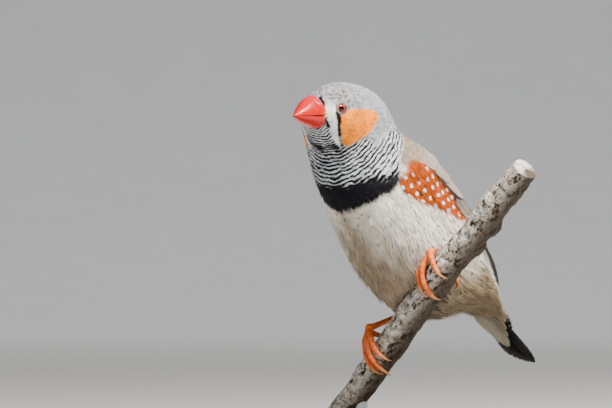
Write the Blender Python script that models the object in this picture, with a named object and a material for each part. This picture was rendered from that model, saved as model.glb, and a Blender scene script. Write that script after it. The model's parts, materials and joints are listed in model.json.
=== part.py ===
"""A male zebra finch on a slanting cut branch, held by a plain display stand, at life size.

Lengths are in millimetres until a mesh is made. Points are measured from the middle of the breast
along three directions: forward (where the breast points), left, and up.
"""

import math

import bmesh
import bpy
import numpy as np

MM = 0.001
GAP = 0.3
HALF_GAP = GAP / 2

# Where the breast stands: ahead of the base's middle, to its left, and above its underside
BREAST_AHEAD = 9.0
BREAST_ASIDE = -2.0
BREAST_HEIGHT = 74.0

# The trunk: distance along the body axis, height of the middle above that axis, half width, and
# the reach above and below the middle
BODY_PITCH = 39.5
TRUNK = (
    (-50.0, -0.4, 6.2, 2.7, 2.9),
    (-45.5, -0.3, 8.0, 4.6, 5.2),
    (-41.0, -1.2, 10.0, 7.4, 8.8),
    (-37.0, -2.7, 12.0, 10.0, 12.4),
    (-32.0, -4.2, 13.8, 12.7, 15.0),
    (-26.0, -4.6, 15.0, 14.2, 16.2),
    (-18.0, -4.6, 15.6, 14.9, 16.8),
    (-9.0, -3.9, 15.4, 14.7, 16.4),
    (0.0, -2.6, 14.8, 13.9, 15.4),
    (7.0, -1.6, 13.6, 13.0, 14.0),
)

# The neck and head: forward, up, pitch, half width, above and below, with the head looking ahead
NECK = (
    (10.6, 7.6, 40.0, 12.4, 12.7, 12.8),
    (15.0, 13.4, 30.0, 11.2, 10.9, 11.2),
)
BILL_BASE = (28.6, 16.8)
HEAD = (
    (9.3, -0.9, 14.0, 9.7, 9.6, 9.3),
    (4.8, -0.3, 2.0, 6.9, 7.5, 7.2),
    (1.8, 0.0, -8.0, 4.9, 5.5, 5.0),
    (0.0, 0.0, -12.0, 3.8, 4.5, 4.0),
)
HEAD_TURN = 11.0

# How much fuller each ring is at its upper shoulders, from the rump's ring to the bill's
SHOULDERS = (0, 0, 0, 0, 0, 0.01, 0.03, 0.045, 0.05, 0.02, 0.05, 0.085, 0.02, 0, 0, 0)
NECK_PIVOT = 12.0
NECK_TURNS = (0.15, 0.55)

# Where the trunk is divided, as distances along the body axis, and the neck, as ring numbers
RUMP_FROM = -35.0
NECK_FROM = 9.6
HEAD_FROM = 11.3

# The bill: distance ahead of its base, half width, height of the culmen and depth of the keel
BILL = (
    (0.0, 3.75, 4.6, 3.6),
    (1.8, 3.5, 4.2, 3.3),
    (3.8, 2.95, 3.4, 2.6),
    (5.8, 2.05, 2.2, 1.75),
    (7.4, 1.15, 1.15, 0.95),
    (8.8, 0.35, 0.3, 0.25),
)
BILL_SLOPE = -12.0

# The eyes: a point on the lid's ring from the middle of the bill's base, the way the eye looks,
# its radius, how far it stands out of the ring, and the ring's radius and thickness
EYE_AT = (-4.0, 5.9, 1.5)
EYE_WAY = (0.42, 0.9, 0.12)
EYE_RADIUS = 1.9
EYE_OUT = 0.5
LID_RADIUS = 1.62
LID_THICK = 0.34

# The branch: a point under the right foot and one under the left, and its radius
PERCH_RIGHT = (-7.3, -3.2, -40.8)
PERCH_LEFT = (-6.7, 16.9, -21.5)
PERCH_RADIUS = 3.9
PERCH_DOWN = 29.0
PERCH_UP = 64.0

# The folded wings: distance along the body axis, and the angles of the lower and upper edge
WING = (
    (-47.5, 36.0, 26.0),
    (-43.0, 43.0, 20.0),
    (-35.0, 52.0, 15.0),
    (-25.0, 59.0, 16.0),
    (-15.0, 64.0, 20.0),
    (-5.0, 68.0, 26.0),
    (3.0, 71.0, 36.0),
    (6.0, 66.0, 46.0),
)
WING_LIFT = 0.34

# The tail, measured back, left and up from the rump's end
TAIL_PITCH = 39.0
TAIL_LENGTH = 24.0

# Each toe from the foot's pad: angle round the branch, height above the bark, distance up it
RIGHT_PAD = (55.0, 3.0, -0.6)
RIGHT_TOES = {
    "middle": ((36, 2.6, -2.0), (8, 1.8, -3.7), (-24, 1.15, -4.8), (-52, 1.1, -5.3)),
    "inner": ((34, 2.2, -0.9), (14, 1.4, -1.7), (-10, 1.1, -2.2), (-26, 1.1, -2.2)),
    "outer": ((46, 2.5, -3.2), (26, 1.7, -5.0), (-2, 1.15, -6.0), (-30, 1.1, -6.6)),
    "hind": ((68, 2.3, -2.3), (96, 1.3, -2.9), (130, 1.1, -2.6), (165, 1.1, -2.2)),
}
LEFT_PAD = (50.0, 1.7, 0.3)
LEFT_TOES = {
    "middle": ((34, 1.7, -2.2), (10, 1.3, -4.6), (-22, 1.1, -6.2), (-46, 1.1, -7.0)),
    "inner": ((32, 1.6, 0.5), (16, 1.3, 0.3), (0, 1.2, 0.0), (-16, 1.15, -0.4)),
    "outer": ((48, 2.0, -2.6), (36, 1.8, -4.6), (14, 1.2, -6.2), (-6, 1.1, -7.4)),
    "hind": ((70, 1.5, -1.7), (100, 1.1, -2.1), (136, 1.1, -1.9), (172, 1.1, -1.5)),
}
PAD_RADIUS = 1.15
TOE_RADIUS = 0.85
CLAW_TURN = 42.0
CLAW_LIFT = 0.75
PROUD_CLAW = ("middle_right", 30.0, 2.6)

# The feathered thighs, from inside the belly to the heel, and the bare shanks below them
RIGHT_THIGH = ((-10.5, -7.6, -22.0), (-17.4, -7.0, -33.3))
LEFT_THIGH = ((-15.5, 11.0, -10.5), (-8.6, 12.8, -14.9))
THIGH_RADII = (3.8, 2.3)
SHANK_RADIUS = 0.85

# The stand
BASE_LONG = 92.0
BASE_WIDE = 74.0
BASE_THICK = 5.0
ROD_RADIUS = 1.6
ROD_PLACES = (-25.0, -15.5)


def clear_scene():
    """Remove every object, so that the file can be run again."""
    for item in list(bpy.data.objects):
        bpy.data.objects.remove(item, do_unlink=True)
    for group in list(bpy.data.collections):
        bpy.data.collections.remove(group)


def new_collection(name):
    """A collection linked to the scene."""
    group = bpy.data.collections.new(name)
    bpy.context.scene.collection.children.link(group)
    return group


def make_material(name, colour, roughness=0.6):
    """A plain surface colour."""
    material = bpy.data.materials.new(name)
    material.use_nodes = True
    surface = material.node_tree.nodes["Principled BSDF"]
    surface.inputs["Base Color"].default_value = (*colour, 1.0)
    surface.inputs["Roughness"].default_value = roughness
    material.diffuse_color = (*colour, 1.0)
    return material


def to_world(points):
    """Metres in the shared frame, from millimetres forward, left and up of the breast."""
    points = np.asarray(points, dtype=float).reshape(-1, 3)
    world = np.empty_like(points)
    world[:, 0] = points[:, 1] + BREAST_ASIDE
    world[:, 1] = -(points[:, 0] + BREAST_AHEAD)
    world[:, 2] = points[:, 2] + BREAST_HEIGHT
    return world * MM


def make_object(name, points, faces, material, group):
    """One closed mesh object with its faces turned outward."""
    mesh = bpy.data.meshes.new(name)
    mesh.from_pydata([tuple(p) for p in to_world(points)], [], [tuple(f) for f in faces])
    work = bmesh.new()
    work.from_mesh(mesh)
    bmesh.ops.recalc_face_normals(work, faces=work.faces)
    work.to_mesh(mesh)
    work.free()
    mesh.materials.append(material)
    item = bpy.data.objects.new(name, mesh)
    group.objects.link(item)
    return item


def normalised(vectors):
    """The same directions at length one."""
    vectors = np.asarray(vectors, dtype=float)
    return vectors / np.linalg.norm(vectors, axis=-1, keepdims=True)


def loft_faces(rings, around):
    """Faces of a tube of rings with a flat face at each end."""
    faces = []
    for i in range(rings - 1):
        for j in range(around):
            k = (j + 1) % around
            faces.append((i * around + j, i * around + k, (i + 1) * around + k, (i + 1) * around + j))
    faces.append(tuple(range(around)))
    faces.append(tuple((rings - 1) * around + j for j in range(around)))
    return faces


def make_loft(name, rings, material, group):
    """A closed tube through rings of equal length."""
    rings = np.asarray(rings)
    return make_object(name, rings.reshape(-1, 3), loft_faces(len(rings), rings.shape[1]), material, group)


def catmull_rom(rows, at):
    """Rows of numbers read smoothly between whole positions."""
    rows = np.asarray(rows, dtype=float)
    at = np.clip(np.atleast_1d(np.asarray(at, dtype=float)), 0, len(rows) - 1)
    low = np.minimum(at.astype(int), len(rows) - 2)
    part = (at - low)[:, None]
    before = np.where((low > 0)[:, None], rows[np.maximum(low - 1, 0)], 2 * rows[low] - rows[low + 1])
    last = low + 2 > len(rows) - 1
    after = rows[np.minimum(low + 2, len(rows) - 1)]
    after = np.where(last[:, None], 2 * rows[low + 1] - rows[low], after)
    return 0.5 * (
        2 * rows[low]
        + (rows[low + 1] - before) * part
        + (2 * before - 5 * rows[low] + 4 * rows[low + 1] - after) * part**2
        + (3 * rows[low] - before - 3 * rows[low + 1] + after) * part**3
    )


def body_rows():
    """Rings of the whole body: forward, left, up, pitch, turn, half width, above, below, shoulder."""
    pitch = math.radians(BODY_PITCH)
    rows = []
    for along, rise, half, above, below in TRUNK:
        forward = along * math.cos(pitch) - rise * math.sin(pitch)
        up = along * math.sin(pitch) + rise * math.cos(pitch)
        rows.append((forward, 0.0, up, BODY_PITCH, 0.0, half, above, below))
    outline = [(f, u, p, share, w, d, v) for share, (f, u, p, w, d, v) in zip(NECK_TURNS, NECK)]
    outline += [(BILL_BASE[0] - b, BILL_BASE[1] + r, p, 1.0, w, d, v) for b, r, p, w, d, v in HEAD]
    for forward, up, tilt, share, half, above, below in outline:
        turn = math.radians(HEAD_TURN * share)
        reach = forward - NECK_PIVOT
        place = (NECK_PIVOT + reach * math.cos(turn), reach * math.sin(turn), up)
        rows.append(place + (tilt, math.degrees(turn), half, above, below))
    return np.column_stack([np.array(rows), SHOULDERS])


BODY = body_rows()
TRUNK_ALONG = [row[0] for row in TRUNK]


def ring_at(along):
    """Ring number of a distance along the body axis."""
    return np.interp(along, TRUNK_ALONG, range(len(TRUNK)))


def body_frame(at):
    """Middle, forward, left and up directions and reaches of the body's ring at each position."""
    row = catmull_rom(BODY, at)
    pitch = np.radians(row[:, 3])
    turn = np.radians(row[:, 4])
    ahead = np.stack([np.cos(pitch) * np.cos(turn), np.cos(pitch) * np.sin(turn), np.sin(pitch)], axis=1)
    left = np.stack([-np.sin(turn), np.cos(turn), np.zeros_like(turn)], axis=1)
    upward = np.cross(ahead, left)
    return row[:, :3], ahead, left, upward, row[:, 5:9]


def body_points(at, angle, shrink=0.0):
    """Points on the body at ring positions and angles, where 0 is the back and 90 the left."""
    at, angle = np.broadcast_arrays(np.asarray(at, dtype=float), np.asarray(angle, dtype=float))
    shape = at.shape
    middle, ahead, left, upward, reach = body_frame(at.ravel())
    turn = np.radians(angle.ravel())
    full = 1 + reach[:, 3] * np.where(np.cos(turn) > 0, np.sin(2 * turn) ** 2, 0.0)
    across = (reach[:, 0] - shrink) * np.sin(turn) * full
    height = (np.where(np.cos(turn) > 0, reach[:, 1], reach[:, 2]) - shrink) * full
    points = middle + left * across[:, None] + upward * (height * np.cos(turn))[:, None]
    return points.reshape(shape + (3,))


def body_lift(at, angle, lift):
    """Points standing off the body's surface by a lift along its normal."""
    here = body_points(at, angle)
    along = body_points(np.asarray(at) + 0.02, angle) - body_points(np.asarray(at) - 0.02, angle)
    across = body_points(at, np.asarray(angle) + 1.0) - body_points(at, np.asarray(angle) - 1.0)
    normal = normalised(np.cross(along, across))
    return here + normal * np.asarray(lift)[..., None]


def body_rings(start, end, count, around, start_gap=0.0, end_gap=0.0, grow=0.0):
    """Rings of the body between two positions, with each end ring moved along its own normal."""
    at = np.linspace(start, end, count)
    angles = np.arange(around) * 360.0 / around
    rings = body_points(at[:, None], angles[None, :], -grow)
    ahead = body_frame(at)[1]
    rings[0] += ahead[0] * start_gap
    rings[-1] -= ahead[-1] * end_gap
    return rings


def head_axes():
    """The bill's base point and the directions ahead, left and up of the level head."""
    base = body_frame([len(BODY) - 1])[0][0]
    turn = math.radians(HEAD_TURN)
    ahead = np.array([math.cos(turn), math.sin(turn), 0.0])
    left = np.array([-math.sin(turn), math.cos(turn), 0.0])
    return base, ahead, left, np.array([0.0, 0.0, 1.0])


def head_point(ahead, left, up):
    """A point measured from the middle of the bill's base in the head's own directions."""
    base, x, y, z = head_axes()
    return base + x * ahead + y * left + z * up


def bill_rings(upper, around=14):
    """Rings of one half of the bill, from its base to its tip."""
    base, x, y, z = head_axes()
    slope = math.tan(math.radians(-BILL_SLOPE))
    rows = catmull_rom(BILL, np.linspace(0, len(BILL) - 1, 9))
    rings = []
    for step, (ahead, half, culmen, keel) in enumerate(rows):
        ring = []
        line = -0.35 + 0.25 * (ahead / BILL[-1][0]) ** 2
        for j in range(around):
            share = j / (around - 1)
            turn = math.pi * share
            side = half * math.cos(turn)
            if upper:
                rise = line + HALF_GAP + (culmen - line - HALF_GAP) * math.sin(turn) ** 0.9
            else:
                side *= 0.93
                rise = line - HALF_GAP - (keel + line - HALF_GAP) * math.sin(turn) ** 0.8
            lean = slope * rise * max(0.0, 1 - ahead / 6.0)
            ring.append(base + x * (ahead + lean + GAP) + y * side + z * rise)
        rings.append(ring)
    rings = np.array(rings)
    if not upper:
        rings[1:] -= x * 0.06 * np.arange(1, len(rings))[:, None, None]
    return rings


def perch_axes():
    """The branch's point under the right foot, its upward direction and two square to it."""
    start = np.array(PERCH_RIGHT)
    along = normalised(np.array(PERCH_LEFT) - start)
    out = normalised(np.cross(np.array([0.0, 0.0, 1.0]), along))
    if out[0] < 0:
        out = -out
    top = normalised(np.cross(out, along))
    if top[2] < 0:
        top = -top
    return start, along, out, top


def perch_radius(along, turn):
    """The branch's radius at a distance along it and an angle round it."""
    radius = PERCH_RADIUS + 0.0 * along
    radius = radius - 0.012 * np.maximum(along - 25.0, 0.0) - 0.014 * np.maximum(-along, 0.0)
    radius = radius + 0.12 * np.sin(0.55 * along + 2 * turn) + 0.1 * np.sin(0.31 * along - 3 * turn + 1.0)
    for place, side, height, spread in ((37.0, 3.6, 1.3, 3.0), (45.0, 4.2, 1.0, 2.4), (51.0, 0.8, 0.9, 2.6)):
        near = np.exp(-(((along - place) / spread) ** 2))
        facing = np.exp(-((1 - np.cos(turn - side)) / 0.35))
        radius = radius + height * near * facing
    return radius


def perch_points(along, turn, lift=0.0):
    """Points on the branch's surface, raised by a lift."""
    along, turn = np.broadcast_arrays(np.asarray(along, dtype=float), np.asarray(turn, dtype=float))
    start, direction, out, top = perch_axes()
    bend = 0.5 * np.sin(along * 0.07)
    radius = perch_radius(along, turn) + lift
    ring = out * np.cos(turn)[..., None] + top * np.sin(turn)[..., None]
    return start + direction * along[..., None] + top * bend[..., None] + ring * radius[..., None]


def keep_largest(item):
    """Keep only the largest connected surface of a mesh."""
    work = bmesh.new()
    work.from_mesh(item.data)
    bmesh.ops.triangulate(work, faces=work.faces)
    bmesh.ops.dissolve_degenerate(work, edges=work.edges, dist=0.000002)
    bmesh.ops.triangulate(work, faces=work.faces)
    left = set(work.verts)
    groups = []
    while left:
        seed = left.pop()
        found = {seed}
        edge = [seed]
        while edge:
            vert = edge.pop()
            for link in vert.link_edges:
                other = link.other_vert(vert)
                if other in left:
                    left.discard(other)
                    found.add(other)
                    edge.append(other)
        groups.append(found)
    groups.sort(key=len, reverse=True)
    spare = [vert for found in groups[1:] for vert in found]
    bmesh.ops.delete(work, geom=spare, context="VERTS")
    work.to_mesh(item.data)
    work.free()


def boolean(item, other, operation):
    """Cut or join another object, or a whole collection, and apply the result."""
    bpy.context.view_layer.update()
    change = item.modifiers.new(operation.title(), "BOOLEAN")
    change.operation = operation
    change.solver = "MANIFOLD"
    if isinstance(other, bpy.types.Collection):
        change.operand_type = "COLLECTION"
        change.collection = other
    else:
        change.object = other
    depsgraph = bpy.context.evaluated_depsgraph_get()
    mesh = bpy.data.meshes.new_from_object(item.evaluated_get(depsgraph), depsgraph=depsgraph)
    item.modifiers.clear()
    item.data = mesh
    keep_largest(item)


def cut(item, cutter):
    """Take a cutter's shape out of an object."""
    cutter.hide_render = True
    cutter.display_type = "WIRE"
    boolean(item, cutter, "DIFFERENCE")


def fuse(item, pieces):
    """Join every object of a collection into one object, and remove them."""
    boolean(item, pieces, "UNION")
    for piece in list(pieces.objects):
        bpy.data.objects.remove(piece, do_unlink=True)
    bpy.data.collections.remove(pieces)


def ball_points(centre, radius, rings=10, around=18, pole=(0.0, 1.0, 0.0)):
    """Rings of a sphere round a pole direction, with small flat ends."""
    pole = normalised(pole)
    side = normalised(np.cross(pole, [0.3, 0.2, 1.0]))
    other = np.cross(pole, side)
    rows = []
    for i in range(rings):
        tilt = math.pi * (0.04 + 0.92 * i / (rings - 1))
        turn = np.arange(around) * 2 * math.pi / around
        ring = side * np.cos(turn)[:, None] + other * np.sin(turn)[:, None]
        rows.append(np.asarray(centre) + radius * (pole * math.cos(tilt) + ring * math.sin(tilt)))
    return rows


def torus_mesh(name, centre, axis, major, minor, material, group, around=18, section=6):
    """A ring of round section."""
    axis = normalised(axis)
    side = normalised(np.cross(axis, [0.3, 0.2, 1.0]))
    other = np.cross(axis, side)
    points = []
    faces = []
    for i in range(around):
        turn = 2 * math.pi * i / around
        out = side * math.cos(turn) + other * math.sin(turn)
        for j in range(section):
            bend = 2 * math.pi * j / section
            rise = axis * minor * math.sin(bend)
            points.append(np.asarray(centre) + out * (major + minor * math.cos(bend)) + rise)
            k = (i + 1) % around
            m = (j + 1) % section
            faces.append((i * section + j, k * section + j, k * section + m, i * section + m))
    return make_object(name, points, faces, material, group)


def tube_rings(path, radii, around=10, flat=1.0):
    """Rings square to a path, of the given radii."""
    path = np.asarray(path, dtype=float)
    tangent = normalised(np.gradient(path, axis=0))
    side = np.cross(tangent[0], [0.1, 0.3, 1.0])
    rings = []
    for point, way, radius in zip(path, tangent, radii):
        side = normalised(side - way * np.dot(side, way))
        other = np.cross(way, side)
        turn = np.arange(around) * 2 * math.pi / around
        ring = side * np.cos(turn)[:, None] + other * np.sin(turn)[:, None] * flat
        rings.append(point + ring * radius)
    return np.array(rings)


def smooth_path(points, count):
    """Points evenly spread in number along a smooth line through a few."""
    return catmull_rom(points, np.linspace(0, len(points) - 1, count))


def section_grid(bottom, top):
    """Rings of a thin slab, from a grid of points under it and one over it."""
    return np.concatenate([bottom, top[:, ::-1]], axis=1)


def wing_place(along, share, side):
    """Ring position and angle of a place in the folded wing, where share 1 is its upper edge."""
    rows = np.array(WING)
    lower = np.interp(along, rows[:, 0], rows[:, 1])
    upper = np.interp(along, rows[:, 0], rows[:, 2])
    return ring_at(along), side * (lower + np.asarray(share) * (upper - lower))


def wing_vane(name, side, root, tip, width, lift, thick, material, group, count=5):
    """One flight feather or covert lying along the body, as a thin closed slab."""
    step = np.linspace(0, 1, count)
    along = root[0] + (tip[0] - root[0]) * step
    share = root[1] + (tip[1] - root[1]) * step
    half = 0.5 * width * np.array([0.8, 1.0, 1.0, 0.9, 0.4])
    at, angle = wing_place(along, share, side)
    reach = body_frame(at)[4]
    spread = np.degrees(half / (0.5 * (reach[:, 0] + reach[:, 1])))
    across = np.array([-1.0, 0.0, 1.0])
    angles = angle[:, None] + spread[:, None] * across[None, :]
    rise = lift[0] + (lift[1] - lift[0]) * step
    ats = np.repeat(at[:, None], 3, axis=1)
    low = body_lift(ats, angles, np.repeat(rise[:, None], 3, axis=1))
    depth = thick * np.array([0.7, 1.0, 0.7])[None, :] * np.where(step < 0.95, 1.0, 0.6)[:, None]
    high = body_lift(ats, angles, rise[:, None] + depth)
    make_loft(name, section_grid(low, high), material, group)


def make_wing(name, side, material, group, scratch):
    """A folded wing: a shield over the flank, and vanes in tiers fused to it."""
    along = np.linspace(5.6, -33.0, 11)
    share = np.linspace(0.0, 1.0, 7)
    at, angle = wing_place(along[:, None], share[None, :], side)
    at = np.broadcast_to(at, angle.shape)
    edge = np.sin(np.pi * np.clip(share, 0.0, 1.0)) ** 0.5
    end = np.clip((5.6 - along) / 6.0, 0.0, 1.0) ** 0.5
    depth = 0.4 + 0.8 * edge[None, :] * (0.25 + 0.75 * end[:, None])
    low = body_lift(at, angle, np.full(angle.shape, WING_LIFT))
    high = body_lift(at, angle, WING_LIFT + depth)
    wing = make_loft(name, section_grid(low, high), material, group)
    rows = (
        # root along, tip along, lowest share, highest share, count, width, lift, thickness
        (-12.0, (-35.0, -47.0), 0.10, 0.50, 6, 3.4, (0.6, 0.7), 0.6),
        (-8.0, (-29.0, -36.0), 0.42, 0.78, 5, 4.2, (0.8, 1.05), 0.6),
        (-4.0, (-24.0, -33.0), 0.72, 0.94, 3, 5.4, (0.95, 1.4), 0.6),
        (0.0, (-15.0, -18.0), 0.10, 0.86, 7, 4.3, (0.95, 1.3), 0.6),
        (4.0, (-7.0, -9.0), 0.12, 0.84, 5, 5.0, (0.7, 1.4), 0.6),
    )
    vanes = scratch()
    for tier, (root, tips, low_share, high_share, count, width, lift, thick) in enumerate(rows):
        for step in range(count):
            part = step / (count - 1)
            place = low_share + (high_share - low_share) * part
            if tier == 0:
                tip = tips[1] + (tips[0] - tips[1]) * part
                gather = 0.5 + (place - 0.3) * 0.7
            else:
                tip = tips[0] + (tips[1] - tips[0]) * part
                gather = place
            label = f"{name}_vane_{tier}_{step}"
            raise_by = 0.1 * (step % 2)
            heights = (lift[0] + raise_by, lift[1] + raise_by)
            wing_vane(label, side, (root, place), (tip, gather), width, heights, thick, material, vanes)
    fuse(wing, vanes)
    return wing


def tail_point(back, left, up):
    """Points measured back, left and up from the middle of the rump's end."""
    origin, ahead, _, upward, _ = body_frame([0.0])
    pitch = math.radians(TAIL_PITCH)
    way = np.array([-math.cos(pitch), 0.0, -math.sin(pitch)])
    rise = np.array([-math.sin(pitch), 0.0, math.cos(pitch)])
    side = np.array([0.0, 1.0, 0.0])
    back, left, up = np.broadcast_arrays(*[np.asarray(v, dtype=float) for v in (back, left, up)])
    return origin[0] + way * back[..., None] + side * left[..., None] + rise * up[..., None]


def tail_vane(name, root, tip, width, thick, material, group, count=5):
    """One tail feather as a thin closed slab from its root to its tip: back, left, up."""
    step = np.linspace(0, 1, count)
    middle = np.array(root)[None, :] + (np.array(tip) - np.array(root))[None, :] * step[:, None]
    half = 0.5 * width * np.array([0.6, 0.9, 1.0, 0.95, 0.4])
    across = np.array([-1.0, 0.0, 1.0])
    left = middle[:, 1:2] + half[:, None] * across[None, :]
    back = np.repeat(middle[:, 0:1], 3, axis=1)
    low = middle[:, 2:3] - thick * np.array([0.3, 0.5, 0.3])[None, :]
    high = middle[:, 2:3] + thick * np.array([0.3, 0.5, 0.3])[None, :]
    rings = section_grid(tail_point(back, left, low), tail_point(back, left, high))
    make_loft(name, rings, material, group)


def make_tail(material, group, scratch):
    """The tail: a root, twelve graduated feathers, and coverts over and under them."""
    rings = []
    turn = np.arange(20) * 2 * math.pi / 20
    ahead = body_frame([0.0])[1][0]
    root = ((0.0, 5.9, 2.5, 2.7), (2.0, 5.6, 2.2, 2.4), (4.5, 4.6, 1.5, 1.7), (7.0, 3.4, 0.7, 0.8))
    for back, half, above, below in root:
        height = np.where(np.cos(turn) > 0, above, below) * np.cos(turn)
        rings.append(tail_point(back, half * np.sin(turn), height))
    first = body_points(np.zeros(20), np.degrees(turn), 0.25)
    rings[0] = first - ahead * HALF_GAP
    tail = make_loft("tail", rings, material, group)
    vanes = scratch()
    for pair in range(6):
        for side in (-1, 1):
            spread = 0.4 + 0.55 * pair
            reach = TAIL_LENGTH - 0.35 * pair - 0.12 * pair * pair
            root = (2.4, side * (0.3 + 0.36 * pair), 0.45 - 0.14 * pair)
            tip = (reach, side * spread * 1.15, 0.5 - 0.3 * pair - 0.1 * (side > 0))
            tail_vane(f"feather_{pair}_{side}", root, tip, 3.2, 0.6, material, vanes)
    coverts = ((-1, 9.5, 0.0), (1, 9.5, 0.0), (-2, 7.5, 0.0), (2, 7.5, 0.0), (0, 12.0, 0.3))
    for step, (side, reach, over) in enumerate(coverts):
        root = (1.2, 1.5 * side, 1.7 - 0.25 * abs(side) + over)
        tip = (reach, 1.7 * side, 1.15 - 0.2 * abs(side) + over * 0.5)
        tail_vane(f"over_{step}", root, tip, 3.6, 0.8, material, vanes)
    coverts = ((-1, 11.0, 0.0), (1, 11.0, 0.0), (-2, 8.0, 0.0), (2, 8.0, 0.0), (0, 14.0, 0.4))
    for step, (side, reach, under) in enumerate(coverts):
        root = (1.2, 1.4 * side, -1.8 + 0.3 * abs(side) - under)
        tip = (reach, 1.3 * side, -1.9 + 0.15 * abs(side) - under)
        tail_vane(f"under_{step}", root, tip, 3.6, 0.9, material, vanes)
    fuse(tail, vanes)
    return tail


def foot_origin(side):
    """Where the foot stands along the branch, in millimetres from its starting point."""
    if side < 0:
        return 0.0
    return float(np.linalg.norm(np.array(PERCH_LEFT) - np.array(PERCH_RIGHT)))


def grip_points(places, side, count):
    """A smooth line of points round the branch, from angles, heights and distances along it."""
    rows = smooth_path(places, count)
    return perch_points(rows[:, 2] + foot_origin(side), np.radians(rows[:, 0]), rows[:, 1])


def make_foot(label, side, pad, toes, paint, group, scratch):
    """One foot: a pad with four toes fused to it, and a claw at each toe. Returns its room."""
    centre = grip_points((pad, pad), side, 2)[0]
    foot = make_loft(f"foot_{label}", ball_points(centre, PAD_RADIUS, 8, 12), paint["leg"], group)
    rooms = [ball_points(centre, PAD_RADIUS + GAP, 8, 12)]
    pieces = scratch()
    for toe, places in toes.items():
        path = grip_points((pad,) + places, side, 11)
        step = np.linspace(0, 1, 11)
        radius = TOE_RADIUS * (1.0 - 0.3 * step) * (1.0 + 0.1 * np.cos(step * 6 * math.pi))
        radius[-1] *= 0.75
        make_loft(f"toe_{toe}_{label}", tube_rings(path, radius, 8), paint["leg"], pieces)
        rooms.append(tube_rings(path, radius + GAP + 0.02, 8))
        way = normalised(path[-1] - path[-2])
        last = np.array(places[-1], dtype=float)
        before = np.array(places[-2], dtype=float)
        proud = f"{toe}_{label}" == PROUD_CLAW[0]
        onward = math.copysign(PROUD_CLAW[1] if proud else CLAW_TURN, last[0] - before[0])
        start = path[-1] + way * GAP
        lift = PROUD_CLAW[2] if proud else CLAW_LIFT
        tip_row = (last[0] + onward, lift, last[2] + (last[2] - before[2]) * 0.5)
        tip = grip_points((tip_row, tip_row), side, 2)[0]
        bend = start + way * np.linalg.norm(tip - start) * 0.5
        share = np.linspace(0, 1, 7)[:, None]
        line = (1 - share) ** 2 * start + 2 * share * (1 - share) * bend + share**2 * tip
        sizes = 0.5 * (1 - share[:, 0]) ** 0.8 + 0.07
        make_loft(f"claw_{toe}_{label}", tube_rings(line, sizes, 8), paint["claw"], group)
        rooms.append(tube_rings(line, sizes + GAP + 0.02, 8))
    fuse(foot, pieces)
    return rooms


def shank_rings(heel, side, pad, grow=0.0):
    """Rings of the scaled shank from the heel to just above the foot's pad."""
    heel = np.array(heel)
    end = grip_points((pad, pad), side, 2)[0]
    way = normalised(end - heel)
    length = float(np.linalg.norm(end - heel)) - PAD_RADIUS - GAP
    step = np.linspace(0, 1, 9)
    path = heel + way * (length * step - grow * (step == 0))[:, None]
    radius = SHANK_RADIUS * (0.88 + 0.2 * np.abs(2 * step - 1) ** 3) + grow
    return tube_rings(path, radius, 12)


def thigh_rings(ends, grow=0.0):
    """Rings of a feathered thigh, from inside the body to the heel."""
    start, end = np.array(ends[0]), np.array(ends[1])
    step = np.linspace(0, 1, 9)
    way = normalised(end - start)
    path = start + (end - start) * step[:, None]
    path[0] -= way * grow
    path[-1] += way * grow
    radius = THIGH_RADII[0] + (THIGH_RADII[1] - THIGH_RADII[0]) * step
    radius = radius * (1 - 0.5 * (2 * step - 1) ** 6) + grow
    return tube_rings(path, radius, 14)


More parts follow.
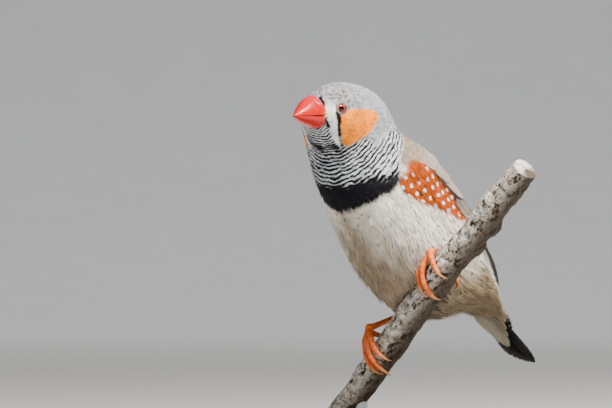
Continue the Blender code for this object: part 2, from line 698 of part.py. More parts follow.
def main():
    clear_scene()
    finch = new_collection("zebra_finch")
    cutters = new_collection("cutters")

    def scratch():
        return new_collection("scratch")

    colours = {
        "crown": (0.42, 0.44, 0.47),
        "throat": (0.34, 0.35, 0.36),
        "belly": (0.72, 0.65, 0.55),
        "rump": (0.62, 0.56, 0.48),
        "wing": (0.30, 0.26, 0.22),
        "tail": (0.03, 0.03, 0.03),
        "bill": (0.75, 0.06, 0.03),
        "eye": (0.16, 0.02, 0.01),
        "leg": (0.80, 0.25, 0.08),
        "claw": (0.62, 0.24, 0.10),
        "thigh": (0.60, 0.50, 0.40),
        "bark": (0.32, 0.28, 0.24),
        "stand": (0.05, 0.05, 0.055),
        "rod": (0.55, 0.55, 0.56),
    }
    paint = {name: make_material(name, colour) for name, colour in colours.items()}

    rump_at = float(ring_at(RUMP_FROM))
    last = len(BODY) - 1
    make_loft("rump", body_rings(0.0, rump_at, 8, 26, 0.0, HALF_GAP), paint["rump"], finch)
    torso_rings = body_rings(rump_at, NECK_FROM, 17, 30, HALF_GAP, HALF_GAP)
    torso = make_loft("torso", torso_rings, paint["belly"], finch)
    neck_rings = body_rings(NECK_FROM, HEAD_FROM, 5, 30, HALF_GAP, HALF_GAP)
    make_loft("neck", neck_rings, paint["throat"], finch)
    head = make_loft("head", body_rings(HEAD_FROM, last, 11, 30, HALF_GAP, 0.0), paint["crown"], finch)

    for label, side in (("left", 1), ("right", -1)):
        ahead, out, rise = EYE_AT
        x, y, z = EYE_WAY
        way = head_point(x, side * y, z) - head_point(0, 0, 0)
        way = normalised(way)
        lid = head_point(ahead, side * out, rise)
        centre = lid - way * (EYE_RADIUS - EYE_OUT)
        lids = scratch()
        torus_mesh(f"lid_{label}", lid - way * 0.12, way, LID_RADIUS, LID_THICK, paint["crown"], lids)
        fuse(head, lids)
        room = ball_points(centre, EYE_RADIUS + GAP, 10, 18, way)
        socket = make_loft(f"socket_{label}", room, paint["crown"], cutters)
        cut(head, socket)
        make_loft(f"eye_{label}", ball_points(centre, EYE_RADIUS, 10, 18, way), paint["eye"], finch)

    upper = make_loft("bill_upper", bill_rings(True), paint["bill"], finch)
    make_loft("bill_lower", bill_rings(False), paint["bill"], finch)
    for label, side in (("left", 1), ("right", -1)):
        hole = ball_points(head_point(1.7, side * 2.55, 3.45), 0.42, 8, 10)
        cut(upper, make_loft(f"nostril_{label}", hole, paint["bill"], cutters))

    along = np.linspace(-PERCH_DOWN, PERCH_UP, 39)
    turn = np.arange(16) * 2 * math.pi / 16
    make_loft("perch", perch_points(along[:, None], turn[None, :]), paint["bark"], finch)
    wide = perch_points(along[:, None], turn[None, :], GAP)
    perch_cutter = make_loft("perch_room", wide, paint["bark"], cutters)

    make_wing("wing_left", 1, paint["wing"], finch, scratch)
    make_wing("wing_right", -1, paint["wing"], finch, scratch)
    make_tail(paint["tail"], finch, scratch)

    rooms_group = scratch()
    for label, side, ends, pad, toes in (
        ("left", 1, LEFT_THIGH, LEFT_PAD, LEFT_TOES),
        ("right", -1, RIGHT_THIGH, RIGHT_PAD, RIGHT_TOES),
    ):
        rooms = make_foot(label, side, pad, toes, paint, finch, scratch)
        rooms.append(thigh_rings(ends, GAP))
        shank_room = shank_rings(ends[1], side, pad, GAP)
        rooms.append(shank_room)
        make_loft(f"shank_{label}", shank_rings(ends[1], side, pad), paint["leg"], finch)
        thigh = make_loft(f"thigh_{label}", thigh_rings(ends), paint["thigh"], finch)
        cut(thigh, make_loft(f"shank_room_{label}", shank_room, paint["leg"], cutters))
        for number, room in enumerate(rooms):
            make_loft(f"room_{label}_{number}", room, paint["leg"], rooms_group)
    room = make_loft("room", wide, paint["leg"], cutters)
    fuse(room, rooms_group)
    cut(torso, room)

    base_middle = (-BREAST_AHEAD, -BREAST_ASIDE, -BREAST_HEIGHT)
    rings = []
    profile = ((0.0, 0.6), (0.6, 0.0), (BASE_THICK - 1.0, 0.0), (BASE_THICK - 0.3, 0.3), (BASE_THICK, 1.0))
    for height, inset in profile:
        turn = np.arange(36) * 2 * math.pi / 36
        shape = (np.abs(np.cos(turn)) ** 3.2 + np.abs(np.sin(turn)) ** 3.2) ** (-1 / 3.2)
        left = (BASE_LONG / 2 - inset) * shape * np.cos(turn)
        ahead = (BASE_WIDE / 2 - inset) * shape * np.sin(turn)
        ring = np.stack([ahead, left, np.full(36, height)], axis=1)
        rings.append(np.array(base_middle) + ring)
    make_loft("stand_base", rings, paint["stand"], finch)
    start, direction, _, _ = perch_axes()
    for number, place in enumerate(ROD_PLACES, 1):
        axis = start + direction * place
        foot = np.array([axis[0], axis[1], -BREAST_HEIGHT + BASE_THICK + GAP])
        turn = np.arange(20) * 2 * math.pi / 20
        ring = np.stack([np.cos(turn), np.sin(turn), np.zeros(20)], axis=1) * ROD_RADIUS
        top = np.array([axis[0], axis[1], axis[2]])
        rod = make_loft(f"stand_rod_{number}", [foot + ring, top + ring], paint["rod"], finch)
        cut(rod, perch_cutter)


main()
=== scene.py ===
# %% [markdown]
# # A zebra finch on a cut branch
# This lesson dresses a plain set of solids as a small songbird. The solids give the true places
# and sizes. Everything seen here, such as feathers, horn, scaled skin and bark, is laid over them.

import json
import math

import bmesh
import bpy
import numpy as np
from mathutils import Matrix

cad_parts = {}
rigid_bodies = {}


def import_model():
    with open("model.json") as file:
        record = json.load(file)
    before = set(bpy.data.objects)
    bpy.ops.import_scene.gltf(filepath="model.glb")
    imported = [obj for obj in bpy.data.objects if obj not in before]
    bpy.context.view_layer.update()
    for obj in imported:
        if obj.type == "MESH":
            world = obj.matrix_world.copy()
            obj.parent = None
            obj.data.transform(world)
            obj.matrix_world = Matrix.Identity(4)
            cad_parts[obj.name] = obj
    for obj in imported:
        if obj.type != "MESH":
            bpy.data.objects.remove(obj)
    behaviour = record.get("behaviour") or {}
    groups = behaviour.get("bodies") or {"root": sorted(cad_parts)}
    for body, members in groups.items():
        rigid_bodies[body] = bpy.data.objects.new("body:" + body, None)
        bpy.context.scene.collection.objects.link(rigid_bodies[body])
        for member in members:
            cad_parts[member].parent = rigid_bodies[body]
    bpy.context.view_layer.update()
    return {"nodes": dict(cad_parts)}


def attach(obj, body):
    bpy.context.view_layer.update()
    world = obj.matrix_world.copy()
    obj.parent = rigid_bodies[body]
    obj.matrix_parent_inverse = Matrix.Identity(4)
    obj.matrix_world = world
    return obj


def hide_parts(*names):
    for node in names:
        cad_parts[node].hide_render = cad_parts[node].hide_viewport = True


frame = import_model()
MM = 0.001
print("solids:", len(frame["nodes"]))

# %% [markdown]
# ## Measures
# The bird's body is a tube of rings, as a carver would plan it: each ring has a place, a tilt, a
# half width, and a reach above and below its middle. The same measures made the solids, so the
# skin and the feathers land where the solids are. Places are in millimetres ahead of, to the left
# of, and above the middle of the breast.

# %% Measures of the body
BREAST_AHEAD, BREAST_ASIDE, BREAST_HEIGHT = 9.0, -2.0, 74.0
BODY_PITCH = 39.5
TRUNK = (
    (-50.0, -0.4, 6.2, 2.7, 2.9),
    (-45.5, -0.3, 8.0, 4.6, 5.2),
    (-41.0, -1.2, 10.0, 7.4, 8.8),
    (-37.0, -2.7, 12.0, 10.0, 12.4),
    (-32.0, -4.2, 13.8, 12.7, 15.0),
    (-26.0, -4.6, 15.0, 14.2, 16.2),
    (-18.0, -4.6, 15.6, 14.9, 16.8),
    (-9.0, -3.9, 15.4, 14.7, 16.4),
    (0.0, -2.6, 14.8, 13.9, 15.4),
    (7.0, -1.6, 13.6, 13.0, 14.0),
)
NECK = (
    (10.6, 7.6, 40.0, 12.4, 12.7, 12.8),
    (15.0, 13.4, 30.0, 11.2, 10.9, 11.2),
)
BILL_BASE = (28.6, 16.8)
HEAD = (
    (9.3, -0.9, 14.0, 9.7, 9.6, 9.3),
    (4.8, -0.3, 2.0, 6.9, 7.5, 7.2),
    (1.8, 0.0, -8.0, 4.9, 5.5, 5.0),
    (0.0, 0.0, -12.0, 3.8, 4.5, 4.0),
)
SHOULDERS = (0, 0, 0, 0, 0, 0.01, 0.03, 0.045, 0.05, 0.02, 0.05, 0.085, 0.02, 0, 0, 0)
HEAD_TURN = 11.0
NECK_PIVOT = 12.0
NECK_TURNS = (0.15, 0.55)


def to_world(points):
    """Metres in the shared frame, from millimetres ahead, left and up of the breast."""
    points = np.asarray(points, dtype=float)
    world = np.empty_like(points)
    world[..., 0] = points[..., 1] + BREAST_ASIDE
    world[..., 1] = -(points[..., 0] + BREAST_AHEAD)
    world[..., 2] = points[..., 2] + BREAST_HEIGHT
    return world * MM


def turn_to_world(vectors):
    """The same change of axes for a direction."""
    vectors = np.asarray(vectors, dtype=float)
    return np.stack([vectors[..., 1], -vectors[..., 0], vectors[..., 2]], axis=-1)


def normalised(vectors):
    """The same directions at length one."""
    vectors = np.asarray(vectors, dtype=float)
    return vectors / np.maximum(np.linalg.norm(vectors, axis=-1, keepdims=True), 1e-12)


def catmull_rom(rows, at):
    """Rows of numbers read smoothly between whole positions."""
    rows = np.asarray(rows, dtype=float)
    at = np.clip(np.atleast_1d(np.asarray(at, dtype=float)), 0, len(rows) - 1)
    low = np.minimum(at.astype(int), len(rows) - 2)
    part = (at - low)[:, None]
    before = np.where((low > 0)[:, None], rows[np.maximum(low - 1, 0)], 2 * rows[low] - rows[low + 1])
    last = low + 2 > len(rows) - 1
    after = rows[np.minimum(low + 2, len(rows) - 1)]
    after = np.where(last[:, None], 2 * rows[low + 1] - rows[low], after)
    return 0.5 * (
        2 * rows[low]
        + (rows[low + 1] - before) * part
        + (2 * before - 5 * rows[low] + 4 * rows[low + 1] - after) * part**2
        + (3 * rows[low] - before - 3 * rows[low + 1] + after) * part**3
    )


def read_rows(at, rows):
    """A number read at a place from rows of (place, number)."""
    places, numbers = np.array(rows, dtype=float).T
    return np.interp(at, places, numbers)


def body_rows():
    """Rings of the whole body: forward, left, up, pitch, turn, reaches and upper fullness."""
    pitch = math.radians(BODY_PITCH)
    rows = []
    for along, rise, half, above, below in TRUNK:
        forward = along * math.cos(pitch) - rise * math.sin(pitch)
        up = along * math.sin(pitch) + rise * math.cos(pitch)
        rows.append((forward, 0.0, up, BODY_PITCH, 0.0, half, above, below))
    outline = [(f, u, p, share, w, d, v) for share, (f, u, p, w, d, v) in zip(NECK_TURNS, NECK)]
    outline += [(BILL_BASE[0] - b, BILL_BASE[1] + r, p, 1.0, w, d, v) for b, r, p, w, d, v in HEAD]
    for forward, up, tilt, share, half, above, below in outline:
        turn = math.radians(HEAD_TURN * share)
        reach = forward - NECK_PIVOT
        place = (NECK_PIVOT + reach * math.cos(turn), reach * math.sin(turn), up)
        rows.append(place + (tilt, math.degrees(turn), half, above, below))
    return np.column_stack([np.array(rows), SHOULDERS])


BODY = body_rows()
LAST = len(BODY) - 1
TRUNK_ALONG = [row[0] for row in TRUNK]
RING_STEPS = np.linalg.norm(np.diff(BODY[:, :3], axis=0), axis=1)
print("body length along the rings:", round(float(RING_STEPS.sum()), 1), "mm")

# %% [markdown]
# ## Places on the body
# Any place on the coat is named by two numbers: a ring along the body and an angle round it, with
# the back at 0. Reading the rings with a smooth curve between them gives a surface without steps,
# and small steps along and across it give the way outward, tailward and round.


# %% Places on the body
def body_frame(at):
    """Middle, ahead, left and upward directions, and reaches, of the rings at these places."""
    row = catmull_rom(BODY, at)
    pitch, turn = np.radians(row[:, 3]), np.radians(row[:, 4])
    ahead = np.stack([np.cos(pitch) * np.cos(turn), np.cos(pitch) * np.sin(turn), np.sin(pitch)], axis=1)
    left = np.stack([-np.sin(turn), np.cos(turn), np.zeros_like(turn)], axis=1)
    return row[:, :3], ahead, left, np.cross(ahead, left), row[:, 5:9]


def body_points(at, angle):
    """Points on the body at ring places and angles, where 0 is the back and 90 the left side."""
    at, angle = np.broadcast_arrays(np.asarray(at, dtype=float), np.asarray(angle, dtype=float))
    middle, _, left, upward, reach = body_frame(at.ravel())
    turn = np.radians(angle.ravel())
    full = 1 + reach[:, 3] * np.where(np.cos(turn) > 0, np.sin(2 * turn) ** 2, 0.0)
    across = reach[:, 0] * np.sin(turn) * full
    height = np.where(np.cos(turn) > 0, reach[:, 1], reach[:, 2]) * full
    points = middle + left * across[:, None] + upward * (height * np.cos(turn))[:, None]
    return points.reshape(at.shape + (3,))


def body_axes(at, angle):
    """The ways outward, tailward and round the body at places on it."""
    at, angle = np.broadcast_arrays(np.asarray(at, dtype=float), np.asarray(angle, dtype=float))
    along = body_points(at + 0.02, angle) - body_points(at - 0.02, angle)
    across = body_points(at, angle + 1.0) - body_points(at, angle - 1.0)
    return normalised(np.cross(along, across)), -normalised(along), normalised(across)


def body_lift(at, angle, lift):
    """Points standing off the body's surface."""
    out, _, _ = body_axes(at, angle)
    return body_points(at, angle) + out * np.broadcast_to(lift, np.shape(out)[:-1])[..., None]


def ring_at(along):
    """Ring number of a distance along the body axis."""
    return np.interp(along, TRUNK_ALONG, range(len(TRUNK)))


def head_axes():
    """The bill's base point and the directions ahead, left and up of the level head."""
    base = body_frame([LAST])[0][0]
    turn = math.radians(HEAD_TURN)
    ahead = np.array([math.cos(turn), math.sin(turn), 0.0])
    left = np.array([-math.sin(turn), math.cos(turn), 0.0])
    return base, ahead, left, np.array([0.0, 0.0, 1.0])


def head_point(ahead, left, up):
    """A point measured from the middle of the bill's base in the head's own directions."""
    base, x, y, z = head_axes()
    return base + x * ahead + y * left + z * up


print("bill's base:", np.round(head_point(0.0, 0.0, 0.0), 1), "mm from the breast")

# %% [markdown]
# ## The camera
# The bird is seen level, from a long way off through a long lens, so near and far parts keep
# their sizes. The camera stands 44 degrees round from the front, on the bird's left.

# %% The camera
IMAGE_WIDE, IMAGE_HIGH = 612, 408
PIXELS_PER_MM = 3.95
BREAST_PIXEL = (382, 182)
CAMERA_AZIMUTH = 44.0
CAMERA_AWAY = 1.5
SENSOR_WIDE = 36.0
SEE_AS_FAR = 20.0


def to_scene(name, data):
    """A new object in the scene."""
    made = bpy.data.objects.new(name, data)
    bpy.context.scene.collection.objects.link(made)
    return made


def camera_directions():
    """The level directions toward the camera and to its right."""
    turn = math.radians(CAMERA_AZIMUTH)
    toward = np.array([math.sin(turn), -math.cos(turn), 0.0])
    return toward, np.array([math.cos(turn), math.sin(turn), 0.0])


def make_camera():
    """A long lens aimed so that the breast falls on its own place in the frame."""
    toward, right = camera_directions()
    breast = to_world(np.zeros(3))
    across = (IMAGE_WIDE / 2 - BREAST_PIXEL[0]) / PIXELS_PER_MM * MM
    up = (BREAST_PIXEL[1] - IMAGE_HIGH / 2) / PIXELS_PER_MM * MM
    aim = breast + right * across + np.array([0, 0, up])
    data = bpy.data.cameras.new("camera")
    data.sensor_width = SENSOR_WIDE
    data.lens = SENSOR_WIDE * CAMERA_AWAY / (IMAGE_WIDE / PIXELS_PER_MM * MM)
    data.clip_end = SEE_AS_FAR
    camera = to_scene("camera", data)
    camera.location = aim + toward * CAMERA_AWAY
    camera.rotation_euler = (math.radians(90.0), 0.0, math.radians(CAMERA_AZIMUTH))
    bpy.context.scene.camera = camera
    return camera


camera = make_camera()
print("lens:", round(camera.data.lens, 1), "mm")

# %% [markdown]
# ## Finishes from small parts
# A material is a chain of nodes. Two small helpers keep that readable: `Value` lets sums on nodes
# be written as sums, and `Finish` makes one material and any node in it.


# %% Node helpers
class Value:
    """A socket that can be added, multiplied and so on, each adding a Math node."""

    def __init__(self, finish, socket):
        self.finish = finish
        self.socket = socket

    def sum(self, operation, first, second):
        return self.finish.node("ShaderNodeMath", {"operation": operation}, (first, second))

    def __add__(self, other):
        return self.sum("ADD", self, other)

    def __sub__(self, other):
        return self.sum("SUBTRACT", self, other)

    def __rsub__(self, other):
        return self.sum("SUBTRACT", other, self)

    def __mul__(self, other):
        return self.sum("MULTIPLY", self, other)

    def __truediv__(self, other):
        return self.sum("DIVIDE", self, other)

    def __pow__(self, other):
        return self.sum("POWER", self, other)

    def through(self, operation, other=None):
        """The value after one more Math node, named by its operation."""
        return self.sum(operation, self, other)


class Finish:
    """One material: its nodes are added by node() and joined to the surface by wear()."""

    def __init__(self, name, colour=(0.5, 0.5, 0.5), roughness=0.5, **plain):
        self.material = bpy.data.materials.new(name)
        self.material.use_nodes = True
        self.tree = self.material.node_tree
        self.surface = self.tree.nodes["Principled BSDF"]
        self.surface.inputs["Base Color"].default_value = (*colour, 1.0)
        self.surface.inputs["Roughness"].default_value = roughness
        for socket, value in plain.items():
            self.surface.inputs[socket.replace("_", " ")].default_value = value

    def node(self, kind, settings=None, inputs=(), out=0):
        """Add a node, set it up, join or set its inputs by place or name, and give one output."""
        node = self.tree.nodes.new(kind)
        for key, value in (settings or {}).items():
            if key == "stops":
                ramp = node.color_ramp
                while len(ramp.elements) < len(value):
                    ramp.elements.new(0.5)
                for element, (place, colour) in zip(ramp.elements, value):
                    element.position = place
                    element.color = (*colour, 1.0)
            else:
                setattr(node, key, value)
        pairs = inputs.items() if isinstance(inputs, dict) else enumerate(inputs)
        for place, value in pairs:
            if value is None:
                continue
            if isinstance(value, Value):
                self.tree.links.new(value.socket, node.inputs[place])
            else:
                node.inputs[place].default_value = value
        return Value(self, node.outputs[out])

    def attribute(self, name, out="Fac"):
        """A named attribute of the mesh."""
        return self.node("ShaderNodeAttribute", {"attribute_name": name}, (), out)

    def place(self):
        """Object coordinates, which are the shared frame's metres."""
        return self.node("ShaderNodeTexCoord", None, (), "Object")

    def noise(self, size_mm, detail=3.0, rough=0.5, stretch=None):
        """Soft noise whose lumps are about this many millimetres."""
        where = self.place()
        if stretch is not None:
            where = self.node("ShaderNodeMapping", None, {"Vector": where, "Scale": stretch})
        inputs = {"Vector": where, "Scale": 1.0 / (size_mm * MM), "Detail": detail, "Roughness": rough}
        return self.node("ShaderNodeTexNoise", None, inputs)

    def mix(self, share, first, second, blend="MIX"):
        """Two colours mixed by a share."""
        first = (*first, 1.0) if isinstance(first, tuple) and len(first) == 3 else first
        second = (*second, 1.0) if isinstance(second, tuple) and len(second) == 3 else second
        settings = {"data_type": "RGBA", "blend_type": blend, "clamp_factor": True}
        return self.node("ShaderNodeMix", settings, {0: share, 6: first, 7: second}, 2)

    def ramp(self, share, *stops):
        """A value or colour read along a ramp of (place, colour) stops."""
        return self.node("ShaderNodeValToRGB", {"stops": stops}, (share,))

    def step(self, value, low, high, out_low=0.0, out_high=1.0):
        """A smooth step between two readings."""
        settings = {"interpolation_type": "SMOOTHSTEP"}
        inputs = {"Value": value, "From Min": low, "From Max": high, "To Min": out_low, "To Max": out_high}
        return self.node("ShaderNodeMapRange", settings, inputs)

    def patchy(self, size_mm, low, high, detail=2.0):
        """A reading that drifts between two values in soft patches of about this size."""
        return self.step(self.noise(size_mm, detail), 0.3, 0.7, low, high)

    def split(self, vector):
        """The three parts of a vector."""
        first = self.node("ShaderNodeSeparateXYZ", None, (vector,))
        return [Value(self, socket) for socket in first.socket.node.outputs]

    def wear(self, **sockets):
        """Join values to the surface's sockets."""
        for name, value in sockets.items():
            self.tree.links.new(value.socket, self.surface.inputs[name.replace("_", " ")])
        return self

    def bump(self, height, depth_mm, strength):
        """Raise the surface by a height."""
        inputs = {"Strength": strength, "Distance": depth_mm * MM, "Height": height}
        self.wear(Normal=self.node("ShaderNodeBump", None, inputs))
        return self


# %% [markdown]
# ## Meshes from numbers
# Every piece is worked out as rows of points and lists of faces, then handed to Blender in one
# go. That is faster than adding points one at a time, and the same sums give each point's measures,
# such as how deep it lies in a crack, for its finish to read.


# %% Mesh helpers
def make_piece(name, points, faces, finishes, slots=None):
    """A mesh object in the scene, from points in millimetres."""
    mesh = bpy.data.meshes.new(name)
    mesh.from_pydata(to_world(points).reshape(-1, 3).tolist(), [], [tuple(f) for f in faces])
    finishes = finishes if isinstance(finishes, (list, tuple)) else [finishes]
    for finish in finishes:
        mesh.materials.append(finish.material)
    if slots is not None:
        mesh.polygons.foreach_set("material_index", np.asarray(slots, dtype=np.int32))
    mesh.polygons.foreach_set("use_smooth", np.full(len(mesh.polygons), True))
    mesh.update()
    return to_scene(name, mesh)


def outward(piece):
    """Turn every face outward."""
    work = bmesh.new()
    work.from_mesh(piece.data)
    bmesh.ops.recalc_face_normals(work, faces=work.faces)
    work.to_mesh(piece.data)
    work.free()
    return piece


def give(mesh, name, values, kind="FLOAT"):
    """Write one value for each point of a mesh."""
    layer = mesh.attributes.new(name, kind, "POINT")
    key = {"FLOAT": "value", "INT": "value", "FLOAT_VECTOR": "vector", "FLOAT_COLOR": "color"}[kind]
    number_kind = np.int32 if kind == "INT" else np.float32
    layer.data.foreach_set(key, np.ascontiguousarray(values, dtype=number_kind).ravel())


def read(mesh, name):
    """Read one vector for each point of a mesh."""
    found = np.empty(len(mesh.vertices) * 3, dtype=np.float32)
    mesh.attributes[name].data.foreach_get("vector", found)
    return found.reshape(-1, 3)


def tube_faces(rings, around, start=0):
    """Faces of a closed tube of rings."""
    i, j = np.meshgrid(np.arange(rings - 1), np.arange(around), indexing="ij")
    k = (j + 1) % around
    quads = np.stack([i * around + j, i * around + k, (i + 1) * around + k, (i + 1) * around + j], axis=-1)
    faces = [tuple(start + q for q in quad) for quad in quads.reshape(-1, 4).tolist()]
    faces.append(tuple(start + q for q in range(around)))
    faces.append(tuple(start + (rings - 1) * around + q for q in range(around)))
    return faces


def tubes_piece(name, tubes, finish):
    """One piece made of several closed tubes."""
    points, faces, total = [], [], 0
    for rings in tubes:
        rings = np.asarray(rings)
        faces += tube_faces(rings.shape[0], rings.shape[1], total)
        points.append(rings.reshape(-1, 3))
        total += rings.shape[0] * rings.shape[1]
    return outward(make_piece(name, np.concatenate(points), faces, finish))


def tube_rings(path, radii, around):
    """Rings square to a path, of the given radii."""
    path = np.asarray(path, dtype=float)
    tangent = normalised(np.gradient(path, axis=0))
    side = np.cross(tangent[0], [0.1, 0.3, 1.0])
    turn = np.arange(around) * 2 * math.pi / around
    rings = []
    for point, way, radius in zip(path, tangent, radii):
        side = normalised(side - way * np.dot(side, way))
        other = np.cross(way, side)
        ring = side * (np.cos(turn) * radius)[:, None] + other * (np.sin(turn) * radius)[:, None]
        rings.append(point + ring)
    return np.array(rings)


def smooth_path(points, count):
    """Points evenly spread in number along a smooth line through a few."""
    return catmull_rom(points, np.linspace(0, len(points) - 1, count))


def waves(points, size_mm, seed, count=9):
    """Smooth noise from a few crossing waves, about -1 to 1, at points in millimetres."""
    rng = np.random.default_rng(seed)
    total = np.zeros(np.shape(points)[:-1])
    for _ in range(count):
        way = normalised(rng.normal(size=3))
        total += np.sin(points @ way * (2 * math.pi / size_mm) * rng.uniform(0.6, 1.5) + rng.uniform(0, 6.28))
    return total / math.sqrt(count) * 0.9


# %% [markdown]
# ## Where each colour lies
# A zebra finch wears sharp patches: a grey crown, a chestnut cheek, a white stripe edged in black
# below the eye, a throat of fine bars, a black breast band, chestnut flanks with white spots, and
# a pale belly. Each patch is a shape drawn on the body: an outline on the side of the head, or
# limits along the body at each angle round it. Skin and feathers read the same shapes.

# %% Measures of the markings
ARC_PLACES = np.linspace(0, LAST, 301)
ARC_STEPS = np.linalg.norm(np.diff(body_points(ARC_PLACES, 90.0), axis=0), axis=1)
ARC = np.concatenate([[0.0], np.cumsum(ARC_STEPS)])
HEAD_SIDE_VIEW = (0.545, 0.839)
FAR_SIDE_SWING = 3.6
CHEEK = (
    (6.8, -0.6), (8.0, 1.1), (10.7, 1.4), (13.8, 1.3), (16.1, 0.5), (16.1, -1.2),
    (14.8, -3.7), (12.0, -6.3), (8.1, -8.2), (7.1, -7.1), (6.75, -3.9),
)
TEAR = (
    (5.6, 0.5), (6.7, 0.3), (6.95, -1.5), (6.7, -3.0), (7.15, -5.2),
    (6.3, -5.6), (6.0, -3.6), (6.2, -2.2), (5.7, -1.0),
)
STRIPE = ((2.6, 3.6), (5.8, 3.6), (6.3, -5.6), (7.0, -8.6), (5.6, -7.4), (4.0, -4.0), (3.0, -0.6))
BASE_LINES = (
    ((1.0, 4.3), (1.9, 4.5), (2.8, 3.1), (2.95, 1.7), (2.3, 1.5), (2.0, 2.6)),
    ((2.5, -0.9), (3.2, -0.7), (4.4, -3.2), (3.5, -3.6)),
)
FLANK = (
    (8.85, 101), (8.80, 76), (8.10, 60), (7.30, 47), (6.48, 35), (5.20, 24), (3.9, 25),
    (3.8, 36), (4.9, 46), (6.0, 66), (7.08, 84), (7.78, 98), (8.45, 106),
)
BAND_LOW = ((90, 8.84), (102, 8.84), (116, 8.82), (134, 8.94), (150, 9.02), (180, 8.92))
BAND_HIGH = ((90, 8.88), (102, 9.05), (115, 9.38), (136, 9.75), (153, 9.88), (180, 9.96))
BARS_LOW = (
    (44, 9.85), (52, 9.40), (74, 9.42), (90, 9.18), (98, 8.90),
    (116, 8.86), (134, 8.98), (150, 9.06), (180, 8.96),
)
BARS_HIGH = (
    (44, 9.86), (60, 10.25), (80, 10.45), (104, 10.6), (112, 11.25),
    (120, 12.1), (132, 13.2), (140, 14.4), (150, 15.1), (180, 15.3),
)
GREY_LOW = ((0, 9.75), (34, 9.85), (52, 9.7), (180, 9.2))
BAR_PERIODS = ((0, 1.4), (9, 1.35), (10, 1.25), (11.5, 1.22), (12.5, 1.15), (13.5, 0.90), (15, 0.68))
MANTLE_EDGE = ((4, 46), (6, 50), (7, 56), (8, 62), (8.7, 76), (9.1, 88), (9.5, 84), (10, 72), (15, 70))
COLOURS = {
    "crown": (0.33, 0.33, 0.345),
    "nape": (0.37, 0.39, 0.425),
    "cheek": (1.0, 0.285, 0.006),
    "white": (1.0, 1.0, 0.99),
    "black": (0.004, 0.004, 0.005),
    "bar_pale": (0.74, 0.78, 0.82),
    "bar_dark": (0.008, 0.008, 0.011),
    "breast": (0.86, 0.81, 0.72),
    # buff: the belly's own buff, made darker as painted shade under the body
    "buff": (0.26, 0.172, 0.088),
    # vent: the vent's own buff, made darker as painted shade under the body
    "vent_buff_and_shade": (0.20, 0.145, 0.082),
    "flank": (0.42, 0.070, 0.004),
    "spot": (0.96, 0.95, 0.92),
    "mantle": (0.34, 0.265, 0.205),
    "rump": (0.58, 0.53, 0.46),
}
FLECK_COLOUR = (0.030, 0.028, 0.031)
FLANK_MM = 0.27
SPOT_GIRTH = 13.5
SPOT_ROWS, SPOT_STEPS = 2.1, 2.7
BAR_COUNT = np.concatenate([[0.0], np.cumsum(np.diff(ARC) / read_rows(ARC_PLACES[1:], BAR_PERIODS))])
print("coat runs", round(float(ARC[-1]), 1), "mm from rump to bill")

# %% [markdown]
# ## Reading the patches
# A patch's mask is 1 inside it, 0 outside, and soft over the width of a feather's tip, since real
# patches end in feathers and not along a line. Slow waves make the edges wander. The patches are
# painted one over another in the order in which they overlap on the bird.


# %% Reading the patches
def limit(angle, rows):
    """A ring number read at an angle from a list of (angle, ring) marks."""
    return read_rows(np.abs(angle), rows)


def outline_depth(x, y, outline):
    """How far inside a closed outline each place is, less than zero outside it."""
    outline = np.asarray(outline, dtype=float)
    best = np.full(np.shape(x), 1e9)
    inside = np.zeros(np.shape(x), dtype=bool)
    for (x0, y0), (x1, y1) in zip(outline, np.roll(outline, -1, axis=0)):
        edge = np.array([x1 - x0, y1 - y0])
        part = np.clip(((x - x0) * edge[0] + (y - y0) * edge[1]) / (edge @ edge), 0, 1)
        best = np.minimum(best, np.hypot(x - x0 - part * edge[0], y - y0 - part * edge[1]))
        crosses = (y0 > y) != (y1 > y)
        inside ^= crosses & (x < (x1 - x0) * (y - y0) / (y1 - y0 if y1 != y0 else 1e-9) + x0)
    return np.where(inside, best, -best)


def soft(value, half=0.25):
    """0 below zero and 1 above it, with a soft change of this half width."""
    part = np.clip((value + half) / (2 * half), 0, 1)
    return part * part * (3 - 2 * part)


def arc_of(at):
    """Millimetres along the side of the body from the rump's end."""
    return np.interp(at, ARC_PLACES, ARC)


def ring_of_arc(arc):
    """The ring number at a distance along the side of the body."""
    return np.interp(arc, ARC, ARC_PLACES)


def side_plane(points):
    """The side of the head laid flat: millimetres tailward, and up, from the bill's base."""
    base, x, y, z = head_axes()
    offset = points - base
    left, up = offset @ y, offset @ z
    swing = np.where(left < 0, FAR_SIDE_SWING * soft(-1.8 - up, 2.3), 0.0)
    ahead_share, left_share = HEAD_SIDE_VIEW
    return -ahead_share * (offset @ x) + left_share * np.abs(left) - swing, up


